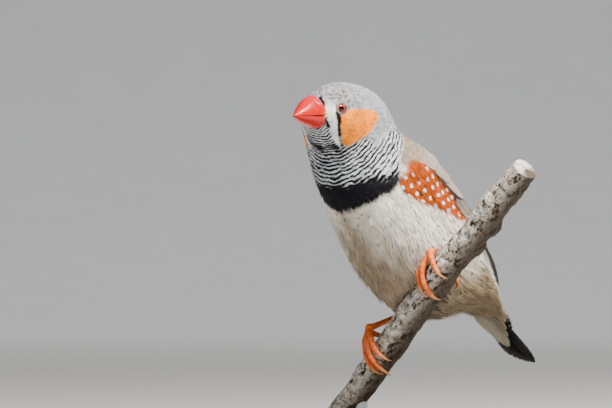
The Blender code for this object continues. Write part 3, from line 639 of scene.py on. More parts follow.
def markings(points, at, angle):
    """Colour, bars and spots at places on the coat, from their point, ring number and angle."""
    size = np.abs(angle)
    arc = arc_of(at)
    wander = waves(points, 5.0, 3)
    fine = waves(points, 1.7, 4)
    tint = np.empty(points.shape)

    def paint(share, name, shade=0.0):
        share = np.clip(share, 0, 1)[..., None]
        colour = np.asarray(COLOURS[name]) * (1 + np.asarray(shade)[..., None])
        tint[:] = tint * (1 - share) + colour * share

    tint[:] = COLOURS["breast"]
    # Buff grows toward the underside and the rear: partly the belly's own colour, partly painted shade under
    # the body.
    paint(soft(7.0 + (size - 140) / 22 - at + 0.4 * wander, 1.6) * 0.85, "buff", 0.12 * fine)
    # The vent's own buff, darkened as painted shade under the tail's root.
    paint(soft(4.2 - at + 0.3 * wander, 1.2) * 0.8, "vent_buff_and_shade", 0.10 * fine)
    mantle = soft(read_rows(at, MANTLE_EDGE) - size + 4 * wander, 7) * soft(9.9 - at, 0.2)
    paint(mantle, "mantle", 0.08 * fine)
    paint(soft(3.4 - at, 0.8) * soft(70 - size, 10), "rump", 0.06 * fine)
    grey = soft(at - limit(size, GREY_LOW) + 0.06 * wander, 0.12)
    paint(grey, "nape", 0.05 * fine)
    x, y = side_plane(points)
    face = np.where(at > 10.4, 1.0, 0.0)
    crown = soft(at - 12.0, 0.9) * soft(y - 1.6 + 0.4 * wander, 1.6)
    paint(crown * face, "crown", 0.06 * fine)
    flank_outline = [(arc_of(ring), degrees * FLANK_MM) for ring, degrees in FLANK]
    flank = outline_depth(arc, size * FLANK_MM, flank_outline)
    flank_mask = soft(flank + 0.35 * wander + 0.25, 0.35) * (at < 9.3)
    paint(flank_mask, "flank", 0.16 * fine)
    bars = soft((at - limit(size, BARS_LOW)) * 8, 0.6) * soft((limit(size, BARS_HIGH) - at) * 8, 1.0)
    bars = bars * soft(size - 46, 4)
    paint(bars, "bar_pale", 0.05 * fine)
    low, high = limit(size, BAND_LOW), limit(size, BAND_HIGH)
    ragged = 0.05 * wander + 0.03 * fine
    band = soft((at - low + ragged * 0.6) * 8, 0.25) * soft((high - 0.12 - at + ragged * 2) * 6, 0.7)
    band = band * soft(size - 97 + 4 * fine, 4)
    paint(band, "black")
    stripe = soft(outline_depth(x, y, STRIPE) + 0.1 * fine, 0.25) * face * (0.25 + 0.75 * soft(1.9 - y, 1.5))
    paint(stripe, "white")
    cheek = soft(outline_depth(x, y, CHEEK) + 0.12 * fine, 0.3) * face
    paint(cheek, "cheek", 0.07 * fine)
    tear = soft(outline_depth(x, y, TEAR) + 0.18 * fine, 0.2) * face
    line = sum(soft(outline_depth(x, y, outline) + 0.10 * fine, 0.18) for outline in BASE_LINES) * face
    paint(np.maximum(tear, line), "black")
    plain = 1 - np.clip(stripe + cheek + tear + line, 0, 1)
    strength = np.clip(bars * plain, 0, 1)
    count = np.interp(arc, ARC, BAR_COUNT) + 0.16 * wander + 0.05 * fine
    close = soft((high + 0.18 - at) * 5, 1.0) * soft(size - 92, 12)
    fold = np.exp(-(((at - 12.5) / 0.45) ** 2)) * soft(size - 122, 14)
    # Bars are heavier near the band and the fold, and toward the throat's underside: partly the bird's own
    # pattern, partly painted shade.
    heavy = 0.10 + 0.30 * soft(size - 136, 40) + 0.12 * wander + 0.75 * close + 0.5 * fold
    speckle = crown * face * plain * (1 - bars)
    marks = np.stack([strength, count, speckle], axis=-1)
    across = np.radians(size) * SPOT_GIRTH
    plain_front = soft(at - 8.0, 0.3) * soft(86 - size, 5) * soft(size - 68, 5)
    spotted = np.stack([arc, across, flank_mask * soft(flank - 0.1, 0.4) * (1 - plain_front)], axis=-1)
    return np.concatenate([tint, np.ones(tint.shape[:-1] + (1,))], axis=-1), marks, spotted, heavy


print("patch colours:", len(COLOURS))

# %% [markdown]
# ## The plumage finish
# One finish serves the skin and every small feather, and the skin's copy is darker, as painted
# shade under the coat. It takes the patch colour from the mesh, draws the throat's dark bars and
# the flank's white spots from smooth measures along the body, and adds the small dark flecks of
# the crown.


# %% The plumage finish
def plumage_finish(name, darken=1.0):
    """Feather colour with bars, spots and flecks, and a soft dry surface."""
    finish = Finish(name, roughness=0.82, Specular_IOR_Level=0.10, Sheen_Weight=0.05, Sheen_Roughness=0.5)
    tint = finish.attribute("tint", "Color")
    bars, phase, speckle = finish.split(finish.attribute("marks", "Vector"))
    ripple = finish.noise(2.6, 2.0) * 0.75 + finish.noise(0.9, 2.0) * 0.35
    wave = ((phase + ripple) * (2 * math.pi)).through("SINE")
    threshold = 0.30 - finish.attribute("heavy") * 1.5
    dark_bar = finish.step(wave - threshold, -0.22, 0.22)
    ragged = finish.step(finish.noise(1.5, 3.0) + finish.attribute("heavy") * 0.3, 0.34, 0.46)
    colour = finish.mix(bars * dark_bar * ragged, tint, COLOURS["bar_dark"])
    along, across, spotted = finish.split(finish.attribute("spots", "Vector"))
    row = (across / SPOT_ROWS).through("FLOOR")
    shift = row.through("MODULO", 2.0) * 0.5
    jitter = finish.node("ShaderNodeTexWhiteNoise", {"noise_dimensions": "1D"}, {"W": row})
    u = (along / SPOT_STEPS + shift + jitter * 0.25).through("FRACT") - 0.5
    v = (across / SPOT_ROWS).through("FRACT") - 0.5
    apart = ((u * 2.3) ** 2.0 + (v * 2.6) ** 2.0).through("SQRT")
    edge = finish.noise(1.1, 2.0) * 0.35
    colour = finish.mix(spotted * finish.step(apart + edge, 0.74, 0.61), colour, COLOURS["spot"])
    fleck = finish.step(finish.noise(1.0, 1.5, 0.5, (1.0, 1.0, 1.6)), 0.47, 0.56)
    colour = finish.mix(fleck * speckle * 0.95, colour, FLECK_COLOUR)
    # darken scales the whole colour; the skin's copy uses it for painted shade under the coat.
    soft_shade = finish.step(finish.noise(2.4, 4.0), 0.30, 0.72, 0.80 * darken, 1.08 * darken)
    shaded = finish.node("ShaderNodeVectorMath", {"operation": "SCALE"}, {0: colour, "Scale": soft_shade})
    finish.wear(Base_Color=shaded, Roughness=finish.patchy(0.5, 0.74, 0.9))
    finish.bump(finish.noise(0.35, 2.0), 0.03, 0.5)
    return finish


plumage = plumage_finish("plumage")
# The skin's copy is 15 percent darker: painted shade under the feathers.
shaded_under_plumage = plumage_finish("shaded_under_plumage", 0.85)
print("plumage nodes:", len(plumage.tree.nodes))

# %% [markdown]
# ## The skin under the feathers
# One closed skin follows the body's rings from the rump to the bill. It lies inside the solids by
# the depth of the coat, so that feathers standing on it end where the solids end. The branch
# presses a hollow in it.


# %% The skin
COAT_DEPTH = ((0, 0.7), (2, 1.1), (5, 1.4), (9, 1.3), (10.5, 1.0), (12, 0.62), (13.5, 0.42), (15, 0.25))
PERCH_RIGHT = (-7.3, -3.2, -40.8)
PERCH_LEFT = (-6.7, 16.9, -21.5)
PERCH_RADIUS = 3.9
PERCH_DOWN = 29.0
PERCH_UP = 64.0
# place along the branch, side in radians, height and spread of each knot
KNOTS = ((37.0, 3.6, 1.3, 3.0), (45.0, 4.2, 1.0, 2.4), (51.0, 0.8, 0.9, 2.6))
THIGH_RINGS, THIGH_AROUND = 24, 32


def coat_depth(at, angle):
    """How far the skin lies under the coat's outer shape."""
    return read_rows(at, COAT_DEPTH) - flank_swell(at, angle) - mantle_swell(at, angle)


def flank_swell(at, angle):
    """How far the long flank feathers stand out over the folded wing's edge."""
    size = np.abs(angle)
    return 1.15 * soft(at - 5.0, 0.9) * soft(8.9 - at, 0.5) * soft(size - 33, 8) * soft(84 - size, 12)


def mantle_swell(at, angle):
    """How far the shoulder feathers stand out over the wing's front, and the nape's over the neck."""
    size = np.abs(angle)
    shoulder = 0.45 * soft(at - 7.7, 0.4) * soft(9.5 - at, 0.4) * soft(78 - size, 9) * soft(size - 12, 12)
    return shoulder + 0.85 * soft(at - 10.1, 0.6) * soft(11.7 - at, 0.6) * soft(72 - size, 16)


def perch_axes():
    """The branch's point under the right foot, its upward direction and two square to it."""
    start = np.array(PERCH_RIGHT)
    along = normalised(np.array(PERCH_LEFT) - start)
    out = normalised(np.cross(np.array([0.0, 0.0, 1.0]), along))
    out = out if out[0] > 0 else -out
    top = normalised(np.cross(out, along))
    top = top if top[2] > 0 else -top
    return start, along, out, top


def perch_radius(along, turn):
    """The branch's radius at a distance along it and an angle round it."""
    radius = PERCH_RADIUS - 0.012 * np.maximum(along - 25.0, 0.0) - 0.014 * np.maximum(-along, 0.0)
    radius = radius + 0.12 * np.sin(0.55 * along + 2 * turn) + 0.1 * np.sin(0.31 * along - 3 * turn + 1.0)
    for place, side, height, spread in KNOTS:
        near = np.exp(-(((along - place) / spread) ** 2))
        facing = np.exp(-((1 - np.cos(turn - side)) / 0.35))
        radius = radius + height * near * facing
    return radius


def perch_bend(along):
    """How far the branch's middle stands above a straight line at a distance along it."""
    return 0.5 * np.sin(along * 0.07)


def perch_points(along, turn, lift=0.0):
    """Points on the branch's surface, raised by a lift."""
    along, turn = np.broadcast_arrays(np.asarray(along, dtype=float), np.asarray(turn, dtype=float))
    start, direction, out, top = perch_axes()
    bend = perch_bend(along)
    radius = perch_radius(along, turn) + lift
    ring = out * np.cos(turn)[..., None] + top * np.sin(turn)[..., None]
    return start + direction * along[..., None] + top * bend[..., None] + ring * radius[..., None]


def clear_perch(points, lift):
    """Points moved out of the branch, to a lift over its bark."""
    start, direction, out, top = perch_axes()
    offset = points - start
    along = offset @ direction
    offset = offset - direction * along[..., None] - top * perch_bend(along)[..., None]
    away = np.linalg.norm(offset, axis=-1)
    turn = np.arctan2(offset @ top, offset @ out)
    need = perch_radius(along, turn) + lift
    push = np.maximum(need - away, 0.0) * ((along > -PERCH_DOWN) & (along < PERCH_UP))
    return points + offset / np.maximum(away, 1e-6)[..., None] * push[..., None]


print("branch:", PERCH_DOWN + PERCH_UP, "mm long,", 2 * PERCH_RADIUS, "mm thick")

# %% [markdown]
# ## Making the skin
# The skin is one long tube of rings, closed at both ends, and each thigh is a short tube that
# starts inside it. They are pushed clear of the branch, coloured by the same markings as the
# feathers so that no gap shows, and unwrapped by ring and angle.


# %% Making the skin
def thigh_rings(ends, grow):
    """Rings of a feathered thigh, from inside the body to the heel."""
    start, end = np.array(ends[0]), np.array(ends[1])
    step = np.linspace(0, 1, THIGH_RINGS)
    path = start + (end - start) * step[:, None]
    radius = 3.8 - 1.5 * step
    return tube_rings(path, radius * (1 - 0.5 * (2 * step - 1) ** 6) + grow, THIGH_AROUND)


RIGHT_THIGH = ((-10.5, -7.6, -22.0), (-17.4, -7.0, -33.3))
LEFT_THIGH = ((-15.5, 11.0, -10.5), (-8.6, 12.8, -14.9))


def skin_uv(at, angle):
    """A place on the unwrap of the skin's own shape."""
    u = 0.03 + 0.90 * (np.asarray(angle) + 180.0) / 360.0
    return np.stack([u, 0.02 + 0.96 * arc_of(at) / ARC[-1]], axis=-1)


def lay_uv(mesh, values):
    """Write the bake map from one place for each point."""
    layer = mesh.uv_layers.new(name="OFBake")
    corners = np.empty(len(mesh.loops), dtype=np.int32)
    mesh.loops.foreach_get("vertex_index", corners)
    layer.data.foreach_set("uv", np.ascontiguousarray(values[corners], dtype=np.float32).ravel())


def give_markings(mesh, tint, marks, spots, heavy):
    """Write the markings' four measures for the plumage finish to read."""
    give(mesh, "tint", tint, "FLOAT_COLOR")
    give(mesh, "marks", marks, "FLOAT_VECTOR")
    give(mesh, "spots", spots, "FLOAT_VECTOR")
    give(mesh, "heavy", heavy)


def make_skin():
    """The body's skin, and the two thighs that join it."""
    rings, around = 190, 112
    at = ring_of_arc(np.linspace(0.0, ARC[-1], rings))[:, None]
    angle = (np.arange(around) * 360.0 / around - 180.0)[None, :]
    at, angle = np.broadcast_arrays(at, angle)
    points = body_lift(at, angle, -coat_depth(at, angle) - 0.12)
    points = clear_perch(points, 0.45)
    faces = tube_faces(rings, around)
    ats, angles, all_points = [at.ravel()], [angle.ravel()], [points.reshape(-1, 3)]
    total, each = rings * around, THIGH_RINGS * THIGH_AROUND
    for ends in (RIGHT_THIGH, LEFT_THIGH):
        faces += tube_faces(THIGH_RINGS, THIGH_AROUND, total)
        total += each
        all_points.append(clear_perch(thigh_rings(ends, -0.55).reshape(-1, 3), 0.35))
        ats.append(np.full(each, 6.0))
        angles.append(np.full(each, 170.0))
    points, at, angle = np.concatenate(all_points), np.concatenate(ats), np.concatenate(angles)
    skin = outward(make_piece("skin", points, faces, shaded_under_plumage))
    give_markings(skin.data, *markings(points, at, angle))
    uv = skin_uv(at, angle)
    number = np.arange(2 * each)
    uv[rings * around :, 0] = 0.95 + 0.04 * (number % THIGH_AROUND) / THIGH_AROUND
    uv[rings * around :, 1] = 0.05 + 0.9 * (number // THIGH_AROUND) / (2 * THIGH_RINGS)
    lay_uv(skin.data, uv)
    return skin


skin = make_skin()
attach(skin, "root")
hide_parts("head", "neck", "torso", "rump", "thigh_left", "thigh_right")
print("skin faces:", len(skin.data.polygons))

# %% [markdown]
# ## Small feathers
# Each body feather is a short vane: a closed lower half, then separate barbs that narrow to
# points. A neat one has barbs lying close, as on the head and back. A loose one spreads its
# barbs, as on the belly. A few of each are made and then used thousands of times.


# %% Small feathers
def feather_mesh(name, barbs, spread, closed, seed, finish, droop):
    """One feather of length one along +Y, one wide along X, its outer side along +Z."""
    rng = np.random.default_rng(seed)
    points, faces, patch = [], [], []

    def add(x, y, lift=0.0):
        points.append((x, y, lift - droop * y * y - 0.16 * x * x))
        patch.append((0.5 + 0.5 * x, y, 0.0))
        return len(points) - 1

    shaft = [(add(-0.02, y, 0.012), add(0.02, y, 0.012)) for y in (0.0, closed * 0.5, closed)]
    for side in (-1, 1):
        low, mid = add(0.24 * side, 0.08), add(0.46 * side, closed * 0.6)
        top = add(0.46 * side, closed)
        inner = 0 if side < 0 else 1
        faces.append((shaft[0][inner], low, mid, shaft[1][inner])[::side])
        faces.append((shaft[1][inner], mid, top, shaft[2][inner])[::side])
    faces.append((shaft[0][0], shaft[1][0], shaft[1][1], shaft[0][1]))
    faces.append((shaft[1][0], shaft[2][0], shaft[2][1], shaft[1][1]))
    for step in range(barbs):
        part = step / (barbs - 1) * 2 - 1
        wide = 0.92 * math.sqrt(max(0.0, 1 - 0.72 * part * part))
        root_y = closed * (0.92 - 0.25 * abs(part))
        reach = closed + (1 - closed) * wide + rng.uniform(-0.05, 0.05)
        root_x = part * 0.42
        tip_x = part * (0.34 + spread) + rng.uniform(-1, 1) * spread * 0.35
        half = 0.50 / barbs * rng.uniform(0.9, 1.25)
        lift = rng.uniform(-0.02, 0.03) * (1 + 3 * spread)
        middle_x = root_x * 1.08 + (tip_x - root_x) * 0.35
        middle_y = root_y + (reach - root_y) * 0.55
        a, b = add(root_x - half, root_y), add(root_x + half, root_y)
        c, d = add(middle_x + half * 0.8, middle_y, lift), add(middle_x - half * 0.8, middle_y, lift)
        faces.append((a, d, c, b))
        faces.append((d, add(tip_x, reach, lift * 2), c))
    mesh = bpy.data.meshes.new(name)
    mesh.from_pydata(points, [], faces)
    mesh.polygons.foreach_set("use_smooth", np.full(len(faces), True))
    give(mesh, "patch", np.array(patch), "FLOAT_VECTOR")
    mesh.materials.append(finish.material)
    mesh.update()
    return bpy.data.objects.new(name, mesh)


def feather_set(name, count, **shape):
    """A few feathers that differ in their barbs, kept out of the scene."""
    group = bpy.data.collections.new(name)
    for number in range(count):
        group.objects.link(feather_mesh(f"{name}_{number:02d}", seed=number + 5, finish=plumage, **shape))
    return group


face_feathers = feather_set("face_feathers", 4, barbs=6, spread=0.04, closed=0.42, droop=0.10)
neat_feathers = feather_set("neat_feathers", 6, barbs=12, spread=0.06, closed=0.48, droop=0.10)
loose_feathers = feather_set("loose_feathers", 6, barbs=15, spread=0.20, closed=0.42, droop=0.06)

# %% [markdown]
# ## Planting
# A real coat has thousands of feathers of a few kinds, so it is planted and not modelled. The
# tree takes a mesh of bare roots and sets one feather on each: its quill lies tailward, its face
# is turned outward, and its kind and size are read from the root.


# %% The planting tree
def planting_tree():
    """Geometry Nodes that set a feather on each root: lying tailward, sized, and picked."""
    tree = bpy.data.node_groups.new("plant_feathers", "GeometryNodeTree")
    for name, kind in (("Geometry", "Geometry"), ("Feathers", "Collection"), ("Finish", "Material")):
        tree.interface.new_socket(name, in_out="INPUT", socket_type=f"NodeSocket{kind}")
    tree.interface.new_socket("Geometry", in_out="OUTPUT", socket_type="NodeSocketGeometry")

    def node(kind, **inputs):
        made = tree.nodes.new(kind)
        for socket, value in inputs.items():
            target = made.inputs[socket.replace("_", " ")]
            if isinstance(value, bpy.types.NodeSocket):
                tree.links.new(value, target)
            else:
                target.default_value = value
        return made

    def field(name, kind="FLOAT"):
        made = tree.nodes.new("GeometryNodeInputNamedAttribute")
        made.data_type = kind
        made.inputs["Name"].default_value = name
        return made.outputs["Attribute"]

    given = tree.nodes.new("NodeGroupInput")
    roots = node("GeometryNodeMeshToPoints", Mesh=given.outputs["Geometry"])
    aim = node("FunctionNodeAxesToRotation")
    aim.primary_axis = "Y"
    aim.secondary_axis = "Z"
    tree.links.new(field("lie", "FLOAT_VECTOR"), aim.inputs[0])
    tree.links.new(field("out", "FLOAT_VECTOR"), aim.inputs[1])
    kinds = node("GeometryNodeCollectionInfo", Collection=given.outputs["Feathers"])
    kinds.inputs["Separate Children"].default_value = True
    kinds.inputs["Reset Children"].default_value = True
    plant = node("GeometryNodeInstanceOnPoints", Points=roots.outputs[0])
    tree.links.new(kinds.outputs[0], plant.inputs["Instance"])
    plant.inputs["Pick Instance"].default_value = True
    tree.links.new(field("pick", "INT"), plant.inputs["Instance Index"])
    tree.links.new(aim.outputs[0], plant.inputs["Rotation"])
    tree.links.new(field("size", "FLOAT_VECTOR"), plant.inputs["Scale"])
    real = node("GeometryNodeRealizeInstances", Geometry=plant.outputs[0])
    dressed = node("GeometryNodeSetMaterial", Geometry=real.outputs[0], Material=given.outputs["Finish"])
    end = tree.nodes.new("NodeGroupOutput")
    tree.links.new(dressed.outputs[0], end.inputs["Geometry"])
    return tree


PLANTING = planting_tree()
print("planting nodes:", len(PLANTING.nodes))


def plant(name, roots, feathers, finish):
    """A coat piece: one feather at each root, as a plain mesh."""
    mesh = bpy.data.meshes.new(f"{name}_roots")
    mesh.from_pydata(to_world(roots["point"]).tolist(), [], [])
    give(mesh, "lie", turn_to_world(roots["lie"]), "FLOAT_VECTOR")
    give(mesh, "out", turn_to_world(roots["out"]), "FLOAT_VECTOR")
    give(mesh, "side_way", turn_to_world(roots["across"]), "FLOAT_VECTOR")
    give(mesh, "root_at", to_world(roots["point"]), "FLOAT_VECTOR")
    give(mesh, "size", roots["size"] * MM, "FLOAT_VECTOR")
    give(mesh, "pick", roots["pick"], "INT")
    give(mesh, "body_at", np.stack([roots["at"], roots["angle"], roots["girth"]], axis=-1), "FLOAT_VECTOR")
    holder = to_scene(f"{name}_roots", mesh)
    change = holder.modifiers.new("plant", "NODES")
    change.node_group = PLANTING
    sockets = {item.name: item.identifier for item in PLANTING.interface.items_tree if item.in_out == "INPUT"}
    change[sockets["Feathers"]] = feathers
    change[sockets["Finish"]] = finish.material
    bpy.context.view_layer.update()
    depsgraph = bpy.context.evaluated_depsgraph_get()
    made = bpy.data.meshes.new_from_object(holder.evaluated_get(depsgraph), depsgraph=depsgraph)
    made.name = name
    piece = to_scene(name, made)
    bpy.data.objects.remove(holder, do_unlink=True)
    return piece


# %% [markdown]
# ## Where the feathers stand
# Feathers grow in rows, each covering the gap between two of the row ahead. They are shortest
# round the bill and eyes, longer over the back, and longest and loosest on the belly. The rows
# stop at the eyes, and under the folded wings, where they would never be seen.

# %% Roots of the coat
LENGTHS = ((0, 6.5), (4, 7.2), (8, 5.6), (9.5, 4.0), (10.5, 3.0), (12, 1.9), (13.5, 1.35), (15, 0.8))
EYE_AT = (-4.0, 5.9, 1.5)
EYE_WAY = (0.42, 0.9, 0.12)
EYE_RADIUS, EYE_OUT, LID_RADIUS = 1.9, 0.5, 1.62
GAZE = (0.27, -0.12)
# place along the trunk, and the angles of the folded wing's lower and upper edge
WING = (
    (-47.5, 36, 26), (-43, 43, 20), (-35, 52, 15), (-25, 59, 16),
    (-15, 64, 20), (-5, 68, 26), (3, 71, 36), (6, 66, 46),
)


def eye_places():
    """The lid ring's middle and the eye's outward way, for the left and right eye."""
    places = []
    for side in (1, -1):
        way = normalised(head_point(EYE_WAY[0], side * EYE_WAY[1], EYE_WAY[2]) - head_point(0, 0, 0))
        places.append((head_point(EYE_AT[0], side * EYE_AT[1], EYE_AT[2]), way))
    return places


def along_of(at):
    """Distance along the trunk's axis at a ring number."""
    return np.interp(at, range(len(TRUNK)), TRUNK_ALONG)


def wing_edges(along):
    """The angles of the folded wing's lower and upper edge at distances along the trunk."""
    rows = np.array(WING, dtype=float)
    return [np.interp(along, rows[:, 0], rows[:, column]) for column in (1, 2)]


def coat_roots(seed=11, row_share=0.25, place_share=0.27):
    """Rows of feather roots over the whole body, with their directions and sizes."""
    rng = np.random.default_rng(seed)
    ats, angles = [], []
    arc, row = 0.5, 0
    while arc < ARC[-1] - 0.25:
        at = float(ring_of_arc(arc))
        length = float(read_rows(at, LENGTHS))
        reach = body_frame([at])[4][0]
        girth = math.pi * (reach[0] + 0.5 * (reach[1] + reach[2]))
        count = max(10, int(girth / (place_share * length)))
        turn = (np.arange(count) + 0.5 * (row % 2)) / count * 360.0
        turn = turn + rng.uniform(-0.3, 0.3, count) * 360 / count
        ats.append(ring_of_arc(arc + rng.uniform(-0.4, 0.4, count) * row_share * length))
        angles.append((turn + 180.0) % 360.0 - 180.0)
        arc += row_share * length
        row += 1
    at, angle = np.concatenate(ats), np.concatenate(angles)
    size = np.abs(angle)
    length = read_rows(at, LENGTHS) * rng.uniform(0.88, 1.12, len(at))
    belly = soft(size - 105, 20) * soft(8.2 - at, 1.2)
    length = length * (1 + 0.20 * belly - 0.22 * soft(60 - size, 15) * soft(at - 3, 1))
    out, tailward, across = body_axes(at, angle)
    reach = body_frame(at)[4]
    girth = 0.5 * (reach[:, 0] + np.where(size < 90, reach[:, 1], reach[:, 2]))
    point = body_lift(at, angle, -coat_depth(at, angle) - 0.05)
    lean = np.radians(rng.normal(0, 4.0 + 5.0 * belly))
    way = normalised(tailward * np.cos(lean)[:, None] + across * np.sin(lean)[:, None])
    tilt = np.radians(np.interp(at, (0, 8, 12, 15), (10, 12.5, 19, 20)) * rng.uniform(0.8, 1.15, len(at)))
    lie = normalised(way * np.cos(tilt)[:, None] + out * np.sin(tilt)[:, None])
    keep = np.ones(len(at), dtype=bool)
    for lid, _ in eye_places():
        away = np.linalg.norm(point - lid, axis=1)
        tip = np.linalg.norm(point + lie * length[:, None] - lid, axis=1)
        keep &= away > LID_RADIUS + 0.14
        near = tip < LID_RADIUS + 0.10
        length = np.where(near, np.maximum(away - LID_RADIUS - 0.05, 0.35), length)
    place = along_of(at)
    lower, upper = wing_edges(place)
    under_wing = (size > upper + 6) & (size < np.minimum(lower - 8, 36))
    keep &= ~((place > -30) & (place < -2) & under_wing)
    for share, slack in ((0.0, 0.0), (0.5, 0.2), (0.9, 0.2)):
        reached = point + lie * (share * length)[:, None]
        keep &= np.linalg.norm(clear_perch(reached, 0.2) - reached, axis=1) <= slack
    width = length * np.interp(at, (0, 8, 11, 15), (0.62, 0.66, 0.72, 0.75))
    size = np.stack([width, length, length], axis=1)
    pick = rng.integers(0, 6, len(at))
    roots = dict(point=point, lie=lie, out=out, across=across, size=size, pick=pick)
    return choose(dict(roots, at=at, angle=angle, girth=girth), keep)


def choose(roots, wanted):
    """The roots where wanted is true."""
    return {name: values[wanted] for name, values in roots.items()}


ROOTS = coat_roots()
print("feathers on the body:", len(ROOTS["at"]))


# %% [markdown]
# ## Laying the coat
# A straight feather on a round body would stand off at its tip, so each point is moved along the
# curve under it by as much as it lies tailward or aside of its root. The point then reads its
# colour where it lands. That puts sharp patches on soft feathers, and hides the seams between
# the coat's pieces.

# %% Laying the coat
SHADES = 4001
PLANTING_NOTES = ("lie", "out", "side_way", "root_at", "size", "pick", "body_at", "patch")


def colour_coat(piece):
    """Bend each feather over the body, and give its points their colour, bars, spots and unwrap."""
    mesh = piece.data
    points = np.empty(len(mesh.vertices) * 3, dtype=np.float32)
    mesh.vertices.foreach_get("co", points)
    points = points.reshape(-1, 3).astype(float)
    notes = ("body_at", "root_at", "out", "side_way", "lie")
    body, root, out, across, lie = [read(mesh, note).astype(float) for note in notes]
    move = (points - root) / MM
    tailward = normalised(np.cross(out, across))
    tailward = np.where((np.sum(tailward * lie, axis=1) < 0)[:, None], -tailward, tailward)
    back = np.sum(move * tailward, axis=1)
    aside = np.sum(move * across, axis=1)
    arc = arc_of(body[:, 0]) - back
    at = ring_of_arc(arc)
    angle = body[:, 1] + np.degrees(aside / body[:, 2])
    angle = (angle + 180.0) % 360.0 - 180.0
    rise = np.sum(move * out, axis=1)
    local = body_lift(at, angle, rise - coat_depth(at, angle) - 0.05)
    past = np.maximum(-arc, 0.0)[:, None] * tailward
    local = local + np.stack([-past[:, 1], past[:, 0], past[:, 2]], axis=-1)
    local = clear_perch(local, 0.12)
    mesh.vertices.foreach_set("co", np.ascontiguousarray(to_world(local), dtype=np.float32).ravel())
    tint, marks, spots, heavy = markings(local, at, angle)
    shade = np.random.default_rng(8).normal(0, 0.045, SHADES)
    which = (np.abs(root[:, 0] * 7.1e5 + root[:, 1] * 3.3e5 + root[:, 2] * 5.7e5)).astype(int) % SHADES
    patch = read(mesh, "patch")
    tint[:, :3] *= (1 + shade[which] + 0.06 * (patch[:, 1] - 0.7))[:, None]
    tint[:, :3] = np.clip(tint[:, :3], 0, 1)
    for name in PLANTING_NOTES:
        if name in mesh.attributes:
            mesh.attributes.remove(mesh.attributes[name])
    centre = soft(0.30 - np.abs(patch[:, 0] - 0.5), 0.14) * soft(patch[:, 1] - 0.62, 0.14)
    marks[:, 2] *= centre
    marks[:, 1] += np.random.default_rng(9).normal(0, 0.11, SHADES)[which]
    give_markings(mesh, tint, marks, spots, heavy)
    lay_uv(mesh, skin_uv(body[:, 0], body[:, 1]) + (patch[:, :2] - 0.5) * 0.003)
    mesh.update()


def triangle_count(piece):
    """Triangles in a piece."""
    return sum(len(face.vertices) - 2 for face in piece.data.polygons)


def make_coat():
    """The body's coat in pieces from face to rump."""
    at, size = ROOTS["at"], np.abs(ROOTS["angle"])
    regions = {
        "face_coat": (at > 13.2, face_feathers, "grey_plumage"),
        "crown_coat": ((at > 11.6) & (at <= 13.2), face_feathers, "grey_plumage"),
        "nape_coat": ((at > 9.9) & (at <= 11.6) & (size < 105), neat_feathers, "grey_plumage"),
        "throat_coat": ((at > 9.9) & (at <= 11.6) & (size >= 105), neat_feathers, "throat_plumage"),
        "breast_coat": ((at > 8.6) & (at <= 9.9), neat_feathers, "throat_plumage"),
        "back_coat": ((at <= 8.6) & (size < 100), neat_feathers, "wing_plumage"),
        "belly_coat": ((at > 4.6) & (at <= 8.6) & (size >= 100), loose_feathers, "belly_plumage"),
        "vent_coat": ((at <= 4.6) & (size >= 100), loose_feathers, "rump_plumage"),
    }
    for name, (wanted, feathers, slot) in regions.items():
        roots = choose(ROOTS, wanted)
        roots["pick"] = roots["pick"] % len(feathers.objects)
        piece = plant(name, roots, feathers, plumage)
        colour_coat(piece)
        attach(piece, "root")
        print(name, "feathers:", len(roots["at"]), "triangles:", triangle_count(piece))


make_coat()

# %% [markdown]
# ## The bill
# The bill is a short red cone in two halves that meet along a slightly bowed line. Fine rings
# give it a ridged top, a soft hollow at each nostril and a smooth horn sheen, redder below and
# pinker on top.

# %% The bill
BILL = (
    (0.0, 3.75, 4.6, 3.6),
    (1.8, 3.5, 4.2, 3.3),
    (3.8, 2.95, 3.4, 2.6),
    (5.8, 2.05, 2.2, 1.75),
    (7.4, 1.15, 1.15, 0.95),
    (8.8, 0.35, 0.3, 0.25),
)
BILL_SLOPE = -12.0
BILL_DROOP = 0.0072
NOSTRIL = (1.5, 2.55, 3.1)
NOSTRIL_REACH = (0.62, 1.0, 0.42)
NOSTRIL_DEEP = 0.42


def bill_surface(upper, rings=44, around=49):
    """Rings of one half of the bill, from its base to its tip."""
    base, x, y, z = head_axes()
    slope = math.tan(math.radians(-BILL_SLOPE))
    rows = catmull_rom(BILL, np.linspace(0, len(BILL) - 1, rings))
    made = []
    for ahead, half, culmen, keel in rows:
        line = -0.35 + 0.25 * (ahead / BILL[-1][0]) ** 2
        share = np.arange(around) / (around - 1)
        turn = math.pi * share
        side = half * np.cos(turn)
        if upper:
            ridge = 1 + 0.03 * np.exp(-(((share - 0.5) / 0.07) ** 2))
            rise = line + 0.05 + (culmen - line - 0.05) * np.sin(turn) ** 0.9 * ridge
        else:
            side = side * 0.95
            rise = line - 0.05 - (keel + line - 0.05) * np.sin(turn) ** 0.8
        lean = slope * rise * max(0.0, 1 - ahead / 6.0)
        rise = rise - BILL_DROOP * ahead**2
        local = np.stack([ahead + lean + 0.05, side, rise], axis=1)
        if upper:
            for sign in (1, -1):
                offset = local - (NOSTRIL[0], sign * NOSTRIL[1], NOSTRIL[2])
                away = np.linalg.norm(offset / NOSTRIL_REACH, axis=1)
                local[:, 1] -= sign * NOSTRIL_DEEP * np.exp(-(away**2))
        made.append(base + local[:, :1] * x + local[:, 1:2] * y + local[:, 2:3] * z)
    return np.array(made)


